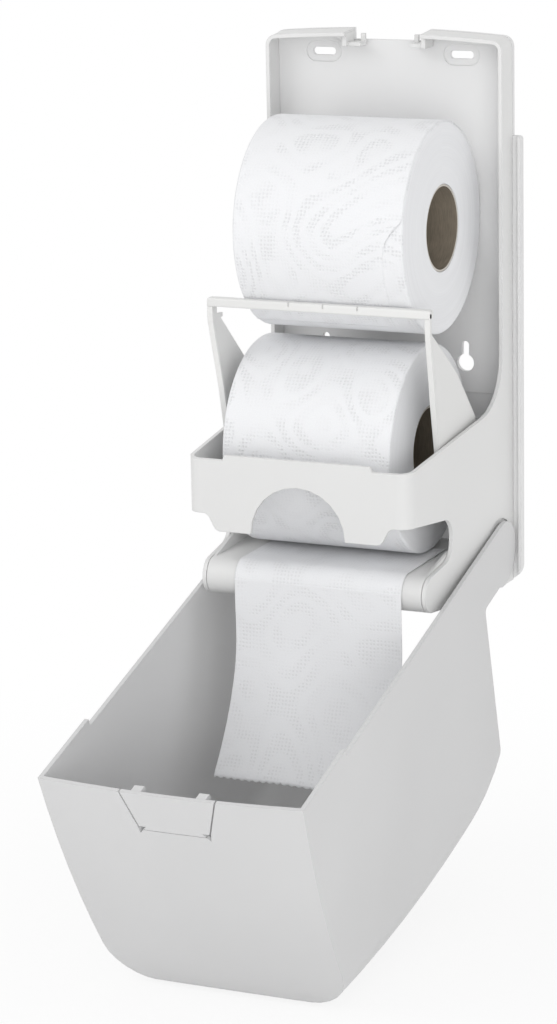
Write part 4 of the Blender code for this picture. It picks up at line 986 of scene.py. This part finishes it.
class DISPENSER_OT_stage(Operator):
    """Set the floor, the soft light and the camera at the photograph's angle"""
    bl_idname = "dispenser.stage"
    bl_label = "Stage"

    def execute(self, context):
        settings = context.scene.dispenser_stage
        self.floor(context, settings)
        self.room(context, settings)
        self.lamp(context, "key_lamp", settings.key_power, KEY_PLACE)
        self.lamp(context, "fill_lamp", settings.fill_power, FILL_PLACE)
        self.camera(context, settings)
        return {'FINISHED'}

    def floor(self, context, settings):
        """Round floor under the open cover; its shadow fades into plain white."""
        turn = np.linspace(0, tau, 72, endpoint=False)
        reach = np.array([0.0001, 0.1, 0.25, 0.5, 1.0]) * settings.floor_radius
        level = packed_box[0].z - settings.floor_drop
        points = np.stack([reach[:, None] * np.cos(turn), reach[:, None] * np.sin(turn),
                           np.full((len(reach), len(turn)), level)], axis=-1)
        material, tree, shader = new_material("pale_floor")
        fill(tree, shader, {'Base Color': tuple(settings.floor_colour), 'Roughness': 0.9,
                            'Specular IOR Level': 0.0})
        white = add(tree, 'ShaderNodeEmission', (0, -2), {'Color': (1, 1, 1, 1), 'Strength': 1.0})
        where = add(tree, 'ShaderNodeTexCoord', (-5, 0)).outputs['Object']
        centred = add(tree, 'ShaderNodeMapping', (-4, 0),
                      {'Vector': where, 'Location': (0.0, 0.16, -level)})
        run = add(tree, 'ShaderNodeVectorMath', (-3, 0), {0: centred.outputs[0]},
                  operation='LENGTH')
        faded = remap(tree, (-2, 0), run.outputs['Value'], 0.1, settings.shadow_radius,
                      0.86, 1.0, 'SMOOTHSTEP')
        share = number(tree, 'MULTIPLY', (-1, 1), white_share(tree), faded)
        mixed = add(tree, 'ShaderNodeMixShader', (1, 0),
                    {0: share, 1: shader.outputs[0], 2: white.outputs[0]})
        fill(tree, tree.nodes['Material Output'], {'Surface': mixed.outputs[0]})
        piece = make_piece("studio_floor", [patch(points, wrap_columns=True, turned=True)],
                           [material])

    def room(self, context, settings):
        """Even light from the world, which shows white to the camera and in reflections."""
        world = bpy.data.worlds.new("studio_room")
        world.use_nodes = True
        context.scene.world = world
        tree = world.node_tree
        tree.nodes.clear()
        even = add(tree, 'ShaderNodeBackground', (1, 0),
                   {'Color': (1, 1, 1, 1), 'Strength': settings.room_light})
        white = add(tree, 'ShaderNodeBackground', (1, -1),
                    {'Color': (1, 1, 1, 1), 'Strength': 1.0})
        mixed = add(tree, 'ShaderNodeMixShader', (3, 0),
                    {0: white_share(tree), 1: even.outputs[0], 2: white.outputs[0]})
        add(tree, 'ShaderNodeOutputWorld', (4, 0), {'Surface': mixed.outputs[0]})

    def lamp(self, context, name, power, place):
        """Large square lamp whose -Z axis points at the dispenser."""
        light = bpy.data.lights.new(name, 'AREA')
        light.energy = power
        light.shape = 'SQUARE'
        light.size = LAMP_SIZE
        lamp = bpy.data.objects.new(name, light)
        context.scene.collection.objects.link(lamp)
        lamp.location = place
        facing = Vector(LAMP_AIM) - Vector(place)
        lamp.rotation_euler = facing.to_track_quat('-Z', 'Y').to_euler()

    def camera(self, context, settings):
        """Camera on a line from the target, given by its turn, height, tilt and distance."""
        turn, rise, tilt = settings.azimuth, settings.elevation, settings.roll
        back = Vector((sin(turn) * cos(rise), -cos(turn) * cos(rise), sin(rise)))
        level = Vector((cos(turn), sin(turn), 0))
        over = back.cross(level)
        right = cos(tilt) * level + sin(tilt) * over
        up = cos(tilt) * over - sin(tilt) * level
        camera = bpy.data.objects.new("photo_camera", bpy.data.cameras.new("photo_camera"))
        matrix = Matrix((right, up, back)).transposed().to_4x4()
        matrix.translation = Vector(settings.target) + back * settings.distance
        camera.matrix_world = matrix
        camera.data.lens = settings.lens
        camera.data.sensor_width = 36.0
        camera.data.clip_start = 0.05
        camera.data.clip_end = 50.0
        context.scene.collection.objects.link(camera)
        context.scene.camera = camera
        context.scene.view_settings.view_transform = 'Standard'


class DISPENSER_PT_panel(Panel):
    """The dispenser's settings and the buttons that make its looks"""
    bl_idname = "DISPENSER_PT_panel"
    bl_label = "Roll Dispenser"
    bl_space_type = 'VIEW_3D'
    bl_region_type = 'UI'
    bl_category = "Dispenser"

    def draw(self, context):
        for name, kind in SETTINGS.items():
            box = self.layout.box()
            box.label(text=name.split("_")[1].capitalize())
            for key in kind.__annotations__:
                box.prop(getattr(context.scene, name), key)
        for operator in OPERATORS:
            self.layout.operator(operator.bl_idname)


OPERATORS = (DISPENSER_OT_housing, DISPENSER_OT_cover, DISPENSER_OT_flap, DISPENSER_OT_rolls,
             DISPENSER_OT_paper_end, DISPENSER_OT_stage)
SETTINGS = {"dispenser_plastic": PlasticSettings, "dispenser_flap": FlapSettings,
            "dispenser_paper": PaperSettings, "dispenser_stage": StageSettings}
CLASSES = tuple(SETTINGS.values()) + OPERATORS + (DISPENSER_PT_panel,)


def register():
    for one in CLASSES:
        bpy.utils.register_class(one)
    for key, kind in SETTINGS.items():
        setattr(bpy.types.Scene, key, PointerProperty(type=kind))


def unregister():
    for key in SETTINGS:
        delattr(bpy.types.Scene, key)
    for one in reversed(CLASSES):
        bpy.utils.unregister_class(one)


def main():
    kept = set(frame["nodes"].values()) | set(frame["bodies"].values())
    for leftover in [one for one in bpy.data.objects if one not in kept]:
        bpy.data.objects.remove(leftover)
    register()
    bpy.ops.dispenser.housing()
    bpy.ops.dispenser.cover()
    bpy.ops.dispenser.flap()
    bpy.ops.dispenser.rolls()
    bpy.ops.dispenser.paper_end()
    bpy.ops.dispenser.stage()
    bpy.context.view_layer.update()


if __name__ == "__main__":
    main()
